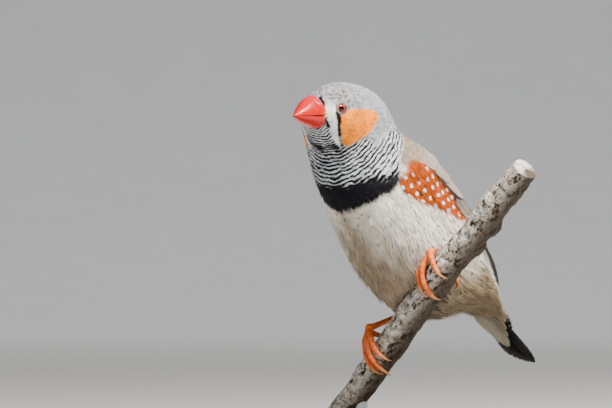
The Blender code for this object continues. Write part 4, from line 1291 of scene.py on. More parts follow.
def bill_finish():
    """Red horn: pinker on top, paler at the cutting edges, with fine growth lines."""
    finish = Finish(
        "bill_horn",
        roughness=0.3,
        Specular_IOR_Level=0.3,
        Coat_Weight=0.35,
        Coat_Roughness=0.08,
        Subsurface_Weight=0.05,
        Subsurface_Radius=(0.6 * MM, 0.2 * MM, 0.12 * MM),
        Subsurface_Scale=1.0,
    )
    colour = finish.ramp(
        finish.attribute("height"),
        (0.0, (0.50, 0.002, 0.001)),
        (0.46, (0.52, 0.0015, 0.001)),
        (0.70, (0.48, 0.002, 0.006)),
        (1.0, (0.48, 0.005, 0.032)),
    )
    blotch = finish.step(finish.noise(1.6, 4.0), 0.35, 0.75)
    colour = finish.mix(blotch * 0.2, colour, (0.80, 0.02, 0.006))
    colour = finish.mix(finish.attribute("edge") * 0.5, colour, (0.30, 0.015, 0.012))
    colour = finish.mix(finish.attribute("gape"), colour, (0.82, 0.42, 0.12))
    finish.wear(Base_Color=colour, Roughness=finish.patchy(0.8, 0.22, 0.42, 3.0))
    return finish.bump(finish.noise(0.5, 3.0, 0.5, (1.0, 1.0, 3.0)), 0.03, 0.6)


def make_bill():
    """The two halves of the bill."""
    finish = bill_finish()
    base, x, y, z = head_axes()
    for name, upper in (("bill_top", True), ("bill_under", False)):
        rings = bill_surface(upper)
        count, around = rings.shape[:2]
        piece = outward(make_piece(name, rings.reshape(-1, 3), tube_faces(count, around), finish))
        local = rings.reshape(-1, 3) - base
        ahead, side, rise = local @ x, local @ y, local @ z
        line = rise + 0.3 + BILL_DROOP * np.maximum(ahead, 0.0) ** 2
        give(piece.data, "height", np.clip(0.42 + line * 0.115, 0, 1))
        give(piece.data, "edge", np.exp(-((line / 0.22) ** 2)))
        give(piece.data, "gape", np.exp(-(((ahead + 0.1) / 0.7) ** 2) - (((rise + 0.3) / 0.55) ** 2)))
        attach(piece, "root")
        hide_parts("bill_upper" if upper else "bill_lower")
        print(name, "faces:", len(piece.data.polygons))


make_bill()

# %% [markdown]
# ## The corners of the mouth
# Where the two halves of the bill meet, a small fold of bare yellow skin lets the mouth open. It
# is a short bent tube that thins to nothing at both ends, laid over the end of the closing line.


# %% The corners of the mouth
GAPE_PATH = ((0.55, 3.72, 0.45), (-0.35, 4.02, -0.05), (0.5, 3.75, -0.75))
GAPE_THICK = 0.30


def make_gape_folds():
    """The small yellow fold of skin at each corner of the bill."""
    finish = Finish("gape_skin", roughness=0.5)
    finish.wear(Base_Color=finish.mix(finish.noise(0.5, 3.0), (0.80, 0.42, 0.12), (0.86, 0.60, 0.28)))
    finish.bump(finish.noise(0.25, 2.0), 0.04, 0.6)
    for label, side in (("left", 1), ("right", -1)):
        path = smooth_path([head_point(ahead, side * out, up) for ahead, out, up in GAPE_PATH], 16)
        radii = GAPE_THICK * np.sin(np.linspace(0.35, math.pi - 0.35, 16)) ** 0.6
        fold = tubes_piece(f"gape_fold_{label}", [tube_rings(path, radii, 14)], finish)
        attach(fold, "root")
    print("folds:", round(float(radii.max()) * 2, 2), "mm thick")


make_gape_folds()

# %% [markdown]
# ## The eyes
# A zebra finch's eye is a small round bead: an orange-red iris, a wide black pupil, and a clear
# wet front. A thin bare lid makes a ring round it. The colours are drawn by distance from the
# middle of the pupil.


# %% The eyes
def ball_rings(centre, radius, pole, rings=30, around=48, bulge=0.0):
    """Rings of a ball round a pole direction, with a small bulge at the pole."""
    pole = normalised(pole)
    side = normalised(np.cross(pole, [0.3, 0.2, 1.0]))
    other = np.cross(pole, side)
    turn = np.arange(around) * 2 * math.pi / around
    circle = side * np.cos(turn)[:, None] + other * np.sin(turn)[:, None]
    rows = []
    for tilt in np.linspace(0.01, math.pi - 0.01, rings):
        size = radius + bulge * math.exp(-((tilt / 0.55) ** 2))
        rows.append(np.asarray(centre) + size * (pole * math.cos(tilt) + circle * math.sin(tilt)))
    return np.array(rows)


def eye_finish():
    """Pupil, iris with slightly uneven edges, and a dark rim, under a clear wet coat."""
    finish = Finish("eye_glass", roughness=0.08, Specular_IOR_Level=0.3, Coat_Weight=0.6, Coat_Roughness=0.02)
    away = finish.attribute("away") + (finish.noise(0.25, 2.0) - 0.5) * 0.05
    colour = finish.ramp(
        away,
        (0.0, (0.004, 0.003, 0.003)),
        (0.50, (0.004, 0.003, 0.003)),
        (0.57, (0.20, 0.007, 0.003)),
        (0.72, (0.52, 0.020, 0.007)),
        (0.86, (0.36, 0.013, 0.005)),
        (0.96, (0.02, 0.012, 0.012)),
    )
    finish.wear(Base_Color=colour, Roughness=finish.patchy(0.3, 0.05, 0.12))
    return finish


def lid_finish():
    """Bare lid skin: warm grey, finely pleated."""
    finish = Finish("lid_skin", roughness=0.55)
    colour = finish.mix(finish.noise(0.5, 3.0), (0.26, 0.22, 0.205), (0.17, 0.145, 0.135))
    colour = finish.mix(finish.attribute("inner"), colour, (0.030, 0.016, 0.014))
    finish.wear(Base_Color=colour)
    return finish.bump(finish.noise(0.18, 2.0), 0.04, 0.8)


IRIS_RADIUS = 1.22
LID_REACH, LID_THICK, LID_HIGH = 1.39, 0.31, 0.20
LID_PLEATS = 18


def make_eyeball(label, lid, way, glass):
    """One eyeball, whose points know how far they are from the middle of the pupil."""
    centre = lid - way * (EYE_RADIUS - EYE_OUT)
    rings = ball_rings(centre, EYE_RADIUS, way, bulge=0.06)
    points = rings.reshape(-1, 3)
    ball = outward(make_piece(f"eyeball_{label}", points, tube_faces(*rings.shape[:2]), glass))
    local = points - centre
    _, ahead, _, up = head_axes()
    gaze = normalised(way + GAZE[0] * ahead + GAZE[1] * up)
    away = np.linalg.norm(local - (local @ gaze)[:, None] * gaze, axis=1) / IRIS_RADIUS
    give(ball.data, "away", np.where(local @ gaze > 0, away, 1.0))
    return ball


def make_lid(label, lid, way, lid_skin, steps=72, section=12):
    """One ring of pleated lid skin, darker on its inner side."""
    side = normalised(np.cross(way, [0.3, 0.2, 1.0]))
    other = np.cross(way, side)
    points, faces, inner = [], [], []
    for i in range(steps):
        turn = 2 * math.pi * i / steps
        out = side * math.cos(turn) + other * math.sin(turn)
        pleat = 1 + 0.10 * math.sin(turn * LID_PLEATS)
        for j in range(section):
            bend = 2 * math.pi * j / section
            inner.append(float(soft(-math.cos(bend) - 0.35, 0.35)))
            rise = LID_HIGH * pleat * math.sin(bend) - 0.10 - 0.10 * math.cos(bend)
            points.append(lid + (out * (LID_REACH + LID_THICK * math.cos(bend)) + way * rise))
            k, m = (i + 1) % steps, (j + 1) % section
            faces.append((i * section + j, k * section + j, k * section + m, i * section + m))
    ring = outward(make_piece(f"lid_{label}", np.array(points), faces, lid_skin))
    give(ring.data, "inner", np.array(inner))
    return ring


def make_eyes():
    """Both eyes, each with its lid ring."""
    glass, lid_skin = eye_finish(), lid_finish()
    for label, (lid, way) in zip(("left", "right"), eye_places()):
        ball = make_eyeball(label, lid, way, glass)
        ring = make_lid(label, lid, way, lid_skin)
        for piece, slot in ((ball, "eye"), (ring, "grey_plumage")):
            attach(piece, "root")
        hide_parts(f"eye_{label}")
    print("eyes:", EYE_RADIUS * 2, "mm across")


make_eyes()

# %% [markdown]
# ## Wing and tail feathers
# Long feathers are vanes: a stiff shaft with a blade on each side, made of hundreds of barbs that
# hook together. Each vane here is a curved blade whose edge is cut into barbs. They overlap in
# tiers, each tier covering the roots of the one behind it.


# %% Long feathers
def vane_finish(name, dark, pale, edge_colour, edge_from):
    """A vane's colour: barbs in fine stripes, a pale edge and a dark shaft."""
    finish = Finish(name, roughness=0.6, Specular_IOR_Level=0.3, Sheen_Weight=0.08)
    across = finish.attribute("across")
    along = finish.attribute("along")
    stripe = ((along * 3.0 + across * 1.2) * 20.0).through("SINE")
    share = finish.step(stripe, -1.0, 1.0) * 0.25 + finish.step(finish.noise(2.2, 4.0), 0.3, 0.7) * 0.45
    colour = finish.mix(share, dark, pale)
    colour = finish.mix(finish.step(across, edge_from, 1.0) * 0.8, colour, edge_colour)
    colour = finish.mix(finish.step(across, 0.09, 0.03) * 0.7, colour, (0.03, 0.025, 0.02))
    finish.wear(Base_Color=colour, Roughness=finish.patchy(0.7, 0.5, 0.72))
    return finish.bump(stripe, 0.02, 0.5)


LONG_TIP = ((0, 0.12, 0.35, 0.72, 0.92, 1.0), (0.45, 0.8, 1.0, 1.0, 0.72, 0.18))
ROUND_TIP = ((0, 0.12, 0.35, 0.62, 0.80, 0.91, 0.97, 1.0), (0.45, 0.8, 1.0, 1.0, 0.90, 0.68, 0.42, 0.10))
BARB_SLANT, BLADE_THICK = 0.5, 0.08


def vane_grid(place, width, length, barbs, seed, outline=LONG_TIP):
    """One feather cut into barbs, where place(along 0-1, across mm) gives a point and its way out."""
    rng = np.random.default_rng(seed)
    points, faces, across_of, along_of_point = [], [], [], []
    step = np.linspace(0.0, 1.0, barbs + 1)
    half = 0.5 * width * np.interp(step, *outline)
    columns = np.array([0.0, 0.45, 0.80, 1.0])
    slant = np.array([0.0, 0.35, 0.75, 1.0]) * 0.9 * width / length
    for side in (-1, 1):
        for number in range(barbs):
            low, high = step[number], step[number + 1]
            gap = 0.10 if rng.uniform() < 0.86 else 0.45
            start = len(points)
            for row, (at, reach) in enumerate(((low, half[number]), (high, half[number + 1]))):
                for column, (out_share, lean) in enumerate(zip(columns, slant)):
                    close = (high - low) * gap * (0, 0.2, 0.55, 1.0)[column]
                    along = at + lean * BARB_SLANT * (1 - at) + (close if row == 0 else -close)
                    point, outward_way = place(min(along, 1.03), side * reach * out_share)
                    points.append(point + outward_way * (BLADE_THICK * (1 - out_share)))
                    across_of.append(out_share)
                    along_of_point.append(at)
            for column in range(3):
                a, b = start + column, start + column + 1
                quad = (a, b, b + 4, a + 4)
                faces.append(quad if side > 0 else quad[::-1])
    return np.array(points), faces, np.array(across_of), np.array(along_of_point)


def vanes_piece(name, vanes, finishes):
    """One piece made of many long feathers: each is (points, faces, across, along, slot)."""
    points, faces, across, along, slots, patch, total = [], [], [], [], [], [], 0
    for number, (place, own_faces, out_share, step, slot) in enumerate(vanes):
        points.append(place)
        faces += [tuple(total + index for index in face) for face in own_faces]
        slots += [slot] * len(own_faces)
        across.append(out_share)
        along.append(step)
        u = (number % 8 + 0.1 + 0.8 * out_share) / 8
        v = (number // 8 % 8 + 0.1 + 0.8 * np.clip(step, 0, 1)) / 8
        patch.append(np.stack([u, v], axis=-1))
        total += len(place)
    piece = make_piece(name, np.concatenate(points), faces, finishes, slots)
    give(piece.data, "across", np.concatenate(across))
    give(piece.data, "along", np.concatenate(along))
    lay_uv(piece.data, np.concatenate(patch))
    return piece


def wing_place(along, share, side):
    """Ring number and angle of a place in the folded wing, where share 1 is its upper edge."""
    lower, upper = wing_edges(along)
    return float(ring_at(along)), float(side * (lower + share * (upper - lower)))


print("points in a covert's outline:", len(ROUND_TIP[0]))

# %% [markdown]
# ## The wings
# A folded wing is stacked from the outside in: long primaries and secondaries lie lowest, the
# tertials over them, and three tiers of coverts hide their roots. A thin shield under the coverts
# stands for the arm, so that no gap shows between them.

# %% The wings
WING_TIERS = (
    # root along, tips along, lowest and highest share, count, width, lifts, barbs, slot
    ("primary", -12.0, (-35.0, -47.0), 0.10, 0.52, 7, 3.4, (0.60, 0.95), 44, 0),
    ("secondary", -8.0, (-29.0, -36.0), 0.40, 0.80, 7, 3.9, (0.85, 1.30), 40, 0),
    ("tertial", -4.0, (-24.0, -33.0), 0.72, 0.96, 4, 5.0, (1.0, 1.7), 36, 0),
    ("greater", 0.0, (-15.0, -18.0), 0.42, 0.94, 8, 4.2, (1.0, 1.6), 26, 1),
    ("median", 3.0, (-7.5, -10.0), 0.40, 0.94, 8, 4.2, (0.75, 1.7), 22, 1),
    ("lesser", 5.0, (-1.5, -3.5), 0.38, 0.94, 8, 3.8, (0.2, 1.6), 18, 1),
)
SHIELD_RINGS, SHIELD_ROWS = 34, 22
SHIELD_FRONT, SHIELD_BACK = 5.6, -33.0


def wing_vanes(side):
    """The folded wing's feathers in tiers, each laid over the body's own curve."""
    vanes = []
    for tier, (kind, root, tips, low, high, count, width, lifts, barbs, slot) in enumerate(WING_TIERS):
        for number in range(count):
            part = number / (count - 1)
            share = low + (high - low) * part
            first, last = tips[::-1] if tier == 0 else tips
            tip = first + (last - first) * part
            gather = 0.5 + (share - 0.3) * 0.7 if tier == 0 else share
            raise_by = 0.10 * (number % 2)
            tip += 0.7 * math.sin(4.1 * number + tier) if slot else 0.0

            def place(step, across):
                at, angle = wing_place(root + (tip - root) * step, share + (gather - share) * step, side)
                reach = body_frame([at])[4][0]
                angle = angle + math.degrees(across / (0.5 * (reach[0] + reach[1])))
                rise = lifts[0] + (lifts[1] - lifts[0]) * step + raise_by - 0.03 * across * across
                out, _, _ = body_axes([at], [angle])
                return (body_points([at], [angle]) + out * rise)[0], out[0]

            shape = ROUND_TIP if slot else LONG_TIP
            grid = vane_grid(place, width, abs(tip - root), barbs, 31 * tier + number, outline=shape)
            vanes.append(grid + (slot,))
    return vanes


def wing_shield(label, side, finish):
    """The thin muscle and skin of the folded wing, which the coverts lie on."""
    along = np.linspace(SHIELD_FRONT, SHIELD_BACK, SHIELD_RINGS)
    share = np.linspace(0.30, 0.98, SHIELD_ROWS)
    lower, upper = [edge[:, None] for edge in wing_edges(along)]
    angle = side * (lower + share[None, :] * (upper - lower))
    at = np.broadcast_to(ring_at(along)[:, None], angle.shape)
    thin_front = np.clip((SHIELD_FRONT - along) / 6, 0, 1)[:, None] ** 0.5
    depth = 0.1 + 0.7 * np.sin(np.pi * share)[None, :] ** 0.5 * thin_front
    low = body_lift(at, angle, np.full(angle.shape, -0.3))
    high = body_lift(at, angle, depth)
    points = np.concatenate([low, high[:, ::-1]], axis=1).reshape(-1, 3)
    faces = tube_faces(SHIELD_RINGS, 2 * SHIELD_ROWS)
    shield = outward(make_piece(f"wing_shield_{label}", points, faces, finish))
    give(shield.data, "across", np.full(len(points), 0.5))
    give(shield.data, "along", np.repeat(np.linspace(0, 2, SHIELD_RINGS), 2 * SHIELD_ROWS))
    return shield


def make_wing(label, side, finishes):
    """A folded wing: a thin shield, and feathers in tiers over it."""
    piece = vanes_piece(f"wing_feathers_{label}", wing_vanes(side), finishes)
    shield = wing_shield(label, side, finishes[1])
    for made in (piece, shield):
        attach(made, "root")
    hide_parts(f"wing_{label}")
    print(piece.name, "faces:", len(piece.data.polygons))


flight = vane_finish("flight_vanes", (0.115, 0.09, 0.075), (0.20, 0.165, 0.135), (0.42, 0.37, 0.31), 0.72)
covert = vane_finish("covert_vanes", (0.27, 0.22, 0.18), (0.43, 0.36, 0.30), (0.52, 0.45, 0.38), 0.80)
make_wing("left", 1, [flight, covert])
make_wing("right", -1, [flight, covert])

# %% [markdown]
# ## The tail
# Twelve stiff black feathers lie in a closed fan, the outer ones shorter. Barred coverts hide
# their roots from above and soft buff ones from below. Each feather is one blade placed by the
# ends of its shaft.


# %% The tail
TAIL_PITCH = 39.0
TAIL_LENGTH = 24.0
TAIL_PAIRS = 6
# how far to the side, and how far back, each covert reaches
COVERTS_OVER = ((-2.2, 7.0), (2.2, 7.0), (-1.5, 9.0), (1.5, 9.0), (-0.7, 11.0), (0.7, 11.0), (0.0, 12.0))
COVERTS_UNDER = ((-2.2, 7.5), (2.2, 7.5), (-1.5, 10.0), (1.5, 10.0), (-0.7, 12.5), (0.7, 12.5), (0.0, 14.0))
# distance back, half width, reach above and reach below, of the tail's fleshy root
TAIL_ROOT = ((-1.0, 5.6, 2.3, 2.5), (2.0, 5.0, 1.9, 2.1), (4.5, 4.0, 1.2, 1.4), (7.0, 2.6, 0.4, 0.5))


def tail_point(back, left, up):
    """A point measured back, left and up from the middle of the rump's end."""
    origin = body_frame([0.0])[0][0]
    pitch = math.radians(TAIL_PITCH)
    way = np.array([-math.cos(pitch), 0.0, -math.sin(pitch)])
    rise = np.array([-math.sin(pitch), 0.0, math.cos(pitch)])
    back, left, up = np.broadcast_arrays(*[np.asarray(v, dtype=float) for v in (back, left, up)])
    return origin + way * back[..., None] + np.array([0.0, 1.0, 0.0]) * left[..., None] + rise * up[..., None]


def tail_vane(root, tip, width, barbs, seed):
    """One tail feather or covert from its root to its tip: back, left, up."""
    root, tip = np.array(root, dtype=float), np.array(tip, dtype=float)
    rise = tail_point(0.0, 0.0, 1.0) - tail_point(0.0, 0.0, 0.0)

    def place(step, across):
        back, left, up = root + (tip - root) * step
        return tail_point(back, left + across, up - 0.035 * across * across), rise

    return vane_grid(place, width, float(tip[0] - root[0]), barbs, seed)


def barred_finish():
    """Uppertail coverts: black with broad white bars."""
    finish = Finish("barred_coverts", roughness=0.7)
    along = finish.attribute("along") + (finish.noise(1.5, 2.0) - 0.5) * 0.10
    bars = finish.step((along * 19.0).through("SINE"), 0.25, 0.5)
    finish.wear(Base_Color=finish.mix(bars, (0.012, 0.012, 0.014), (0.78, 0.76, 0.72)))
    return finish.bump(finish.noise(0.4, 2.0), 0.03, 0.5)


def tail_fan():
    """Twelve graduated feathers, and coverts over and under them."""
    vanes = []
    for pair in range(TAIL_PAIRS):
        for side in (-1, 1):
            reach = TAIL_LENGTH - 0.35 * pair - 0.12 * pair * pair
            root = (2.4, side * (0.3 + 0.36 * pair), 0.45 - 0.14 * pair)
            tip = (reach, side * (0.4 + 0.55 * pair) * 1.15, 0.6 - 0.3 * pair - 0.1 * (side > 0))
            vanes.append(tail_vane(root, tip, 3.2, 46, 200 + pair * 2 + side) + (0,))
    for number, (place, reach) in enumerate(COVERTS_OVER):
        root = (0.6, 1.5 * place, 1.9 - 0.12 * place * place)
        tip = (reach, 1.3 * place, 1.45 - 0.10 * place * place)
        vanes.append(tail_vane(root, tip, 3.2, 22, 240 + number) + (1,))
    for number, (place, reach) in enumerate(COVERTS_UNDER):
        root = (0.6, 1.5 * place, -2.2 + 0.14 * place * place)
        tip = (reach, 1.25 * place, -2.1 + 0.12 * place * place)
        points, faces, across, along = tail_vane(root, tip, 3.4, 22, 260 + number)
        vanes.append((points, [face[::-1] for face in faces], across, along, 2))
    return vanes


def make_tail_root(finish, count=16, around=40):
    """The fleshy root that the tail feathers grow from."""
    rings = []
    turn = np.arange(around) * 2 * math.pi / around
    for back, half, above, below in smooth_path(TAIL_ROOT, count):
        height = np.where(np.cos(turn) > 0, above, below) * np.cos(turn)
        rings.append(tail_point(back, half * np.sin(turn), height))
    piece = tubes_piece("tail_root", [np.array(rings)], finish)
    give(piece.data, "across", np.full(count * around, 0.5))
    give(piece.data, "along", np.repeat(np.linspace(0, 1, count), around))
    return piece


def make_tail():
    """The tail's root, and the fan of feathers over it."""
    tail_colours = (0.0015, 0.0015, 0.0018), (0.004, 0.0035, 0.0035), (0.010, 0.009, 0.008)
    black = vane_finish("tail_vanes", *tail_colours, 0.85)
    black.surface.inputs["Specular IOR Level"].default_value = 0.10
    black.surface.inputs["Sheen Weight"].default_value = 0.0
    buff = vane_finish("under_coverts", (0.27, 0.22, 0.155), (0.38, 0.325, 0.24), (0.46, 0.41, 0.32), 0.6)
    vanes = tail_fan()
    piece = vanes_piece("tail_feathers", vanes, [black, barred_finish(), buff])
    root_piece = make_tail_root(buff)
    for made in (piece, root_piece):
        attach(made, "root")
    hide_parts("tail")
    print("tail feathers:", len(vanes), "faces:", len(piece.data.polygons))


make_tail()

# %% [markdown]
# ## Legs and feet
# The bare shank and toes are covered in scutes, broad scales that lap like roof tiles down the
# front of the leg and along the top of each toe. The toes wrap the branch, three forward and one
# behind, and each ends in a thin curved claw.

# %% Legs and feet
RIGHT_PAD = (55.0, 3.0, -0.6)
RIGHT_TOES = {
    "middle": ((36, 2.6, -2.0), (8, 1.8, -3.7), (-24, 1.15, -4.8), (-52, 1.1, -5.3)),
    "inner": ((34, 2.2, -0.9), (14, 1.4, -1.7), (-10, 1.1, -2.2), (-26, 1.1, -2.2)),
    "outer": ((46, 2.5, -3.2), (26, 1.7, -5.0), (-2, 1.15, -6.0), (-30, 1.1, -6.6)),
    "hind": ((68, 2.3, -2.3), (96, 1.3, -2.9), (130, 1.1, -2.6), (165, 1.1, -2.2)),
}
LEFT_PAD = (50.0, 1.7, 0.3)
LEFT_TOES = {
    "middle": ((34, 1.7, -2.2), (10, 1.3, -4.6), (-22, 1.1, -6.2), (-46, 1.1, -7.0)),
    "inner": ((32, 1.6, 0.5), (16, 1.3, 0.3), (0, 1.2, 0.0), (-16, 1.15, -0.4)),
    "outer": ((48, 2.0, -2.6), (36, 1.8, -4.6), (14, 1.2, -6.2), (-6, 1.1, -7.4)),
    "hind": ((70, 1.5, -1.7), (106, 1.1, -2.5), (152, 1.1, -3.4), (204, 1.3, -4.0)),
}
PAD_RADIUS, TOE_RADIUS, SHANK_RADIUS = 1.15, 0.85, 0.85
PAD_RINGS, PAD_AROUND = 18, 24
CLAW_TURN, CLAW_LIFT = 42.0, 0.75
PROUD_CLAW = ("middle_right", 30.0, 2.6)
print("toes on each foot:", len(RIGHT_TOES), len(LEFT_TOES))

# %% [markdown]
# ## Making the feet
# Each toe is a tube laid on the branch's own surface, so it grips without sinking in. Its radius
# swells at the joints and steps down at the end of each scute. The claw carries on from the toe's
# last direction along a curve with three control points.


# %% Making the feet
def foot_origin(side):
    """Where the foot stands along the branch from its starting point."""
    return 0.0 if side < 0 else float(np.linalg.norm(np.array(PERCH_LEFT) - np.array(PERCH_RIGHT)))


def grip_points(places, side, count):
    """A smooth line of points round the branch, from angles, heights and distances along it."""
    rows = smooth_path(places, count)
    return perch_points(rows[:, 2] + foot_origin(side), np.radians(rows[:, 0]), rows[:, 1])


def leg_finish():
    """Orange scaled skin, paler where worn, darker between the scutes."""
    soak = (0.5 * MM, 0.2 * MM, 0.1 * MM)
    finish = Finish(
        "leg_skin", roughness=0.45, Subsurface_Weight=0.1, Subsurface_Radius=soak, Subsurface_Scale=1.0
    )
    colour = finish.mix(finish.noise(1.4, 4.0), (0.66, 0.080, 0.004), (0.84, 0.19, 0.015))
    colour = finish.mix(finish.attribute("groove") * 0.6, colour, (0.36, 0.05, 0.012))
    finish.wear(Base_Color=colour, Roughness=finish.patchy(0.4, 0.36, 0.55))
    return finish.bump(finish.noise(0.25, 3.0), 0.03, 0.6)


def claw_finish():
    """Thin horn, paler toward its point."""
    finish = Finish("claw_horn", roughness=0.32, Coat_Weight=0.3)
    colour = finish.mix(finish.attribute("groove"), (0.62, 0.20, 0.045), (0.34, 0.10, 0.03))
    colour = finish.mix(finish.noise(0.7, 3.0) * 0.4, colour, (0.76, 0.40, 0.16))
    finish.wear(Base_Color=colour)
    return finish.bump(finish.noise(0.2, 2.0, 0.5, (1, 1, 3)), 0.02, 0.5)


def scaled_tube(path, radii, scales, around=18, raise_by=0.07):
    """Rings of a toe or shank whose surface steps up at the end of each scute, and the grooves."""
    share = np.linspace(0, scales, len(path)) % 1.0
    lap = raise_by * (share**1.5) - raise_by * 0.5
    rings = tube_rings(path, np.asarray(radii) + lap * 0.6, around)
    return rings, np.repeat(np.exp(-((share / 0.16) ** 2)), around)


def toe_tube(toe, pad, places, side, steps=64):
    """One toe's path round the branch, and its scaled rings and grooves."""
    path = grip_points((pad,) + places, side, steps)
    step = np.linspace(0, 1, steps)
    knuckle = 1.0 + 0.10 * np.cos(step * 6 * math.pi)
    radius = TOE_RADIUS * (1.0 - 0.3 * step) * knuckle
    radius[-3:] *= np.array([0.95, 0.85, 0.6])
    return path, *scaled_tube(path, radius, 9 if toe == "middle" else 7)


def claw_tube(name, path, places, side, steps=22, around=14):
    """One claw, curved on from the end of its toe, and how far along it each ring lies."""
    way = normalised(path[-1] - path[-3])
    last, before = np.array(places[-1], dtype=float), np.array(places[-2], dtype=float)
    proud = name == PROUD_CLAW[0]
    onward = math.copysign(PROUD_CLAW[1] if proud else CLAW_TURN, last[0] - before[0])
    lift = PROUD_CLAW[2] if proud else CLAW_LIFT
    tip_row = (last[0] + onward, lift, last[2] + (last[2] - before[2]) * 0.5)
    tip = grip_points((tip_row, tip_row), side, 2)[0]
    start = path[-1] - way * 0.1
    bend = start + way * np.linalg.norm(tip - start) * 0.5
    share = np.linspace(0, 1, steps)[:, None]
    line = (1 - share) ** 2 * start + 2 * share * (1 - share) * bend + share**2 * tip
    rings = tube_rings(line, 0.5 * (1 - share[:, 0]) ** 0.8 + 0.04, around)
    return rings, np.repeat(share[:, 0], around)


def make_foot(label, side, pad, toes, skin_finish, horn_finish):
    """One foot with its toes as one piece, the claws as another, and the shank above them."""
    centre = grip_points((pad, pad), side, 2)[0]
    ball = ball_rings(centre, PAD_RADIUS, (0.0, 1.0, 0.0), PAD_RINGS, PAD_AROUND)
    tubes, grooves, claws, claw_shares = [ball], [np.zeros(PAD_RINGS * PAD_AROUND)], [], []
    for toe, places in toes.items():
        path, rings, groove = toe_tube(toe, pad, places, side)
        tubes.append(rings)
        grooves.append(groove)
        claw, share = claw_tube(f"{toe}_{label}", path, places, side)
        claws.append(claw)
        claw_shares.append(share)
    foot = tubes_piece(f"toes_{label}", tubes, skin_finish)
    give(foot.data, "groove", np.concatenate(grooves))
    horn = tubes_piece(f"claws_{label}", claws, horn_finish)
    give(horn.data, "groove", np.concatenate(claw_shares))
    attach(foot, "root")
    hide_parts(f"foot_{label}")
    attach(horn, "root")
    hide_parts(*[f"claw_{toe}_{label}" for toe in toes])
    heel = np.array((RIGHT_THIGH if side < 0 else LEFT_THIGH)[1])
    way = normalised(centre - heel)
    step = np.linspace(0, 1, 40)
    path = heel + way * ((np.linalg.norm(centre - heel) - 0.2) * step)[:, None]
    radius = SHANK_RADIUS * (0.88 + 0.2 * np.abs(2 * step - 1) ** 3)
    rings, groove = scaled_tube(path, radius, 6, 20, 0.10)
    shank = tubes_piece(f"scutes_{label}", [rings], skin_finish)
    give(shank.data, "groove", groove)
    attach(shank, "root")
    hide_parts(f"shank_{label}")
    print("foot", label, "faces:", len(foot.data.polygons) + len(horn.data.polygons))


leg_skin, claw_horn = leg_finish(), claw_finish()
make_foot("left", 1, LEFT_PAD, LEFT_TOES, leg_skin, claw_horn)
make_foot("right", -1, RIGHT_PAD, RIGHT_TOES, leg_skin, claw_horn)

# %% [markdown]
# ## The branch
# The branch is a dead twig with flaking bark. The fine mesh is pushed in and out by crossing waves
# for plates and cracks, and the same depth drives the colour: pale lichen on the raised plates
# and the upper side, dark brown in the cracks, and painted shade near black in the deepest hollows.
# The underside is darkened to dark brown as painted shade.


# %% The branch
def bark_finish():
    """Grey flaking bark: pale plates, dark cracks, rusty patches, and painted shade in hollows and beneath.
    """
    finish = Finish("dry_bark", roughness=0.9, Specular_IOR_Level=0.2)
    relief = finish.attribute("relief")
    upper = finish.attribute("upper")
    fine = finish.noise(0.8, 6.0, 0.7)
    place = finish.place()
    wobble = finish.node("ShaderNodeTexNoise", None, {"Vector": place, "Scale": 700.0, "Detail": 3.0}, 1)
    where = finish.node("ShaderNodeMix", {"data_type": "VECTOR"}, {0: 0.0022, 4: place, 5: wobble}, 1)
    cells = {"feature": "DISTANCE_TO_EDGE"}
    crack = finish.node("ShaderNodeTexVoronoi", cells, {"Vector": where, "Scale": 640.0})
    plates = finish.step(relief * 0.9 + (fine - 0.5) * 2.6, -0.55, 0.35)
    colour = finish.mix(plates, (0.055, 0.038, 0.026), (0.40, 0.345, 0.28))
    lichen = finish.step(finish.noise(1.5, 6.0, 0.7) + relief * 0.05, 0.44, 0.58)
    colour = finish.mix(lichen * finish.step(upper, 0.05, 0.65) * 0.85, colour, (0.78, 0.75, 0.69))
    rust = finish.step(finish.noise(2.2, 4.0), 0.60, 0.70)
    colour = finish.mix(rust * 0.55, colour, (0.26, 0.13, 0.06))
    # Near black in the deepest hollows of the relief: partly the cracks' own dark bark, partly painted shade.
    colour = finish.mix(finish.step(relief + fine * 0.6, -0.10, -0.50) * 0.9, colour, (0.014, 0.010, 0.008))
    split = finish.step(crack, 0.06, 0.0) * finish.step(fine, 0.62, 0.42)
    colour = finish.mix(split * 0.75, colour, (0.035, 0.026, 0.020))
    # Painted shade: the side turned away from above is darkened to dark brown.
    colour = finish.mix(finish.step(upper, 0.52, 0.12) * 0.88, colour, (0.045, 0.030, 0.020))
    finish.wear(Base_Color=colour)
    return finish.bump(fine + crack * 0.4, 0.30, 1.0)


BARK_RELIEF, BARK_SINK = 0.24, 0.20
END_SHARES = (0.03, 0.25, 0.5, 0.75, 0.94)
# The up direction for the bark: lichen grows on the side facing it, and painted shade darkens the side turned
# from it.
LIT_AND_LICHEN_SIDE = (0.25, -0.15, 0.95)


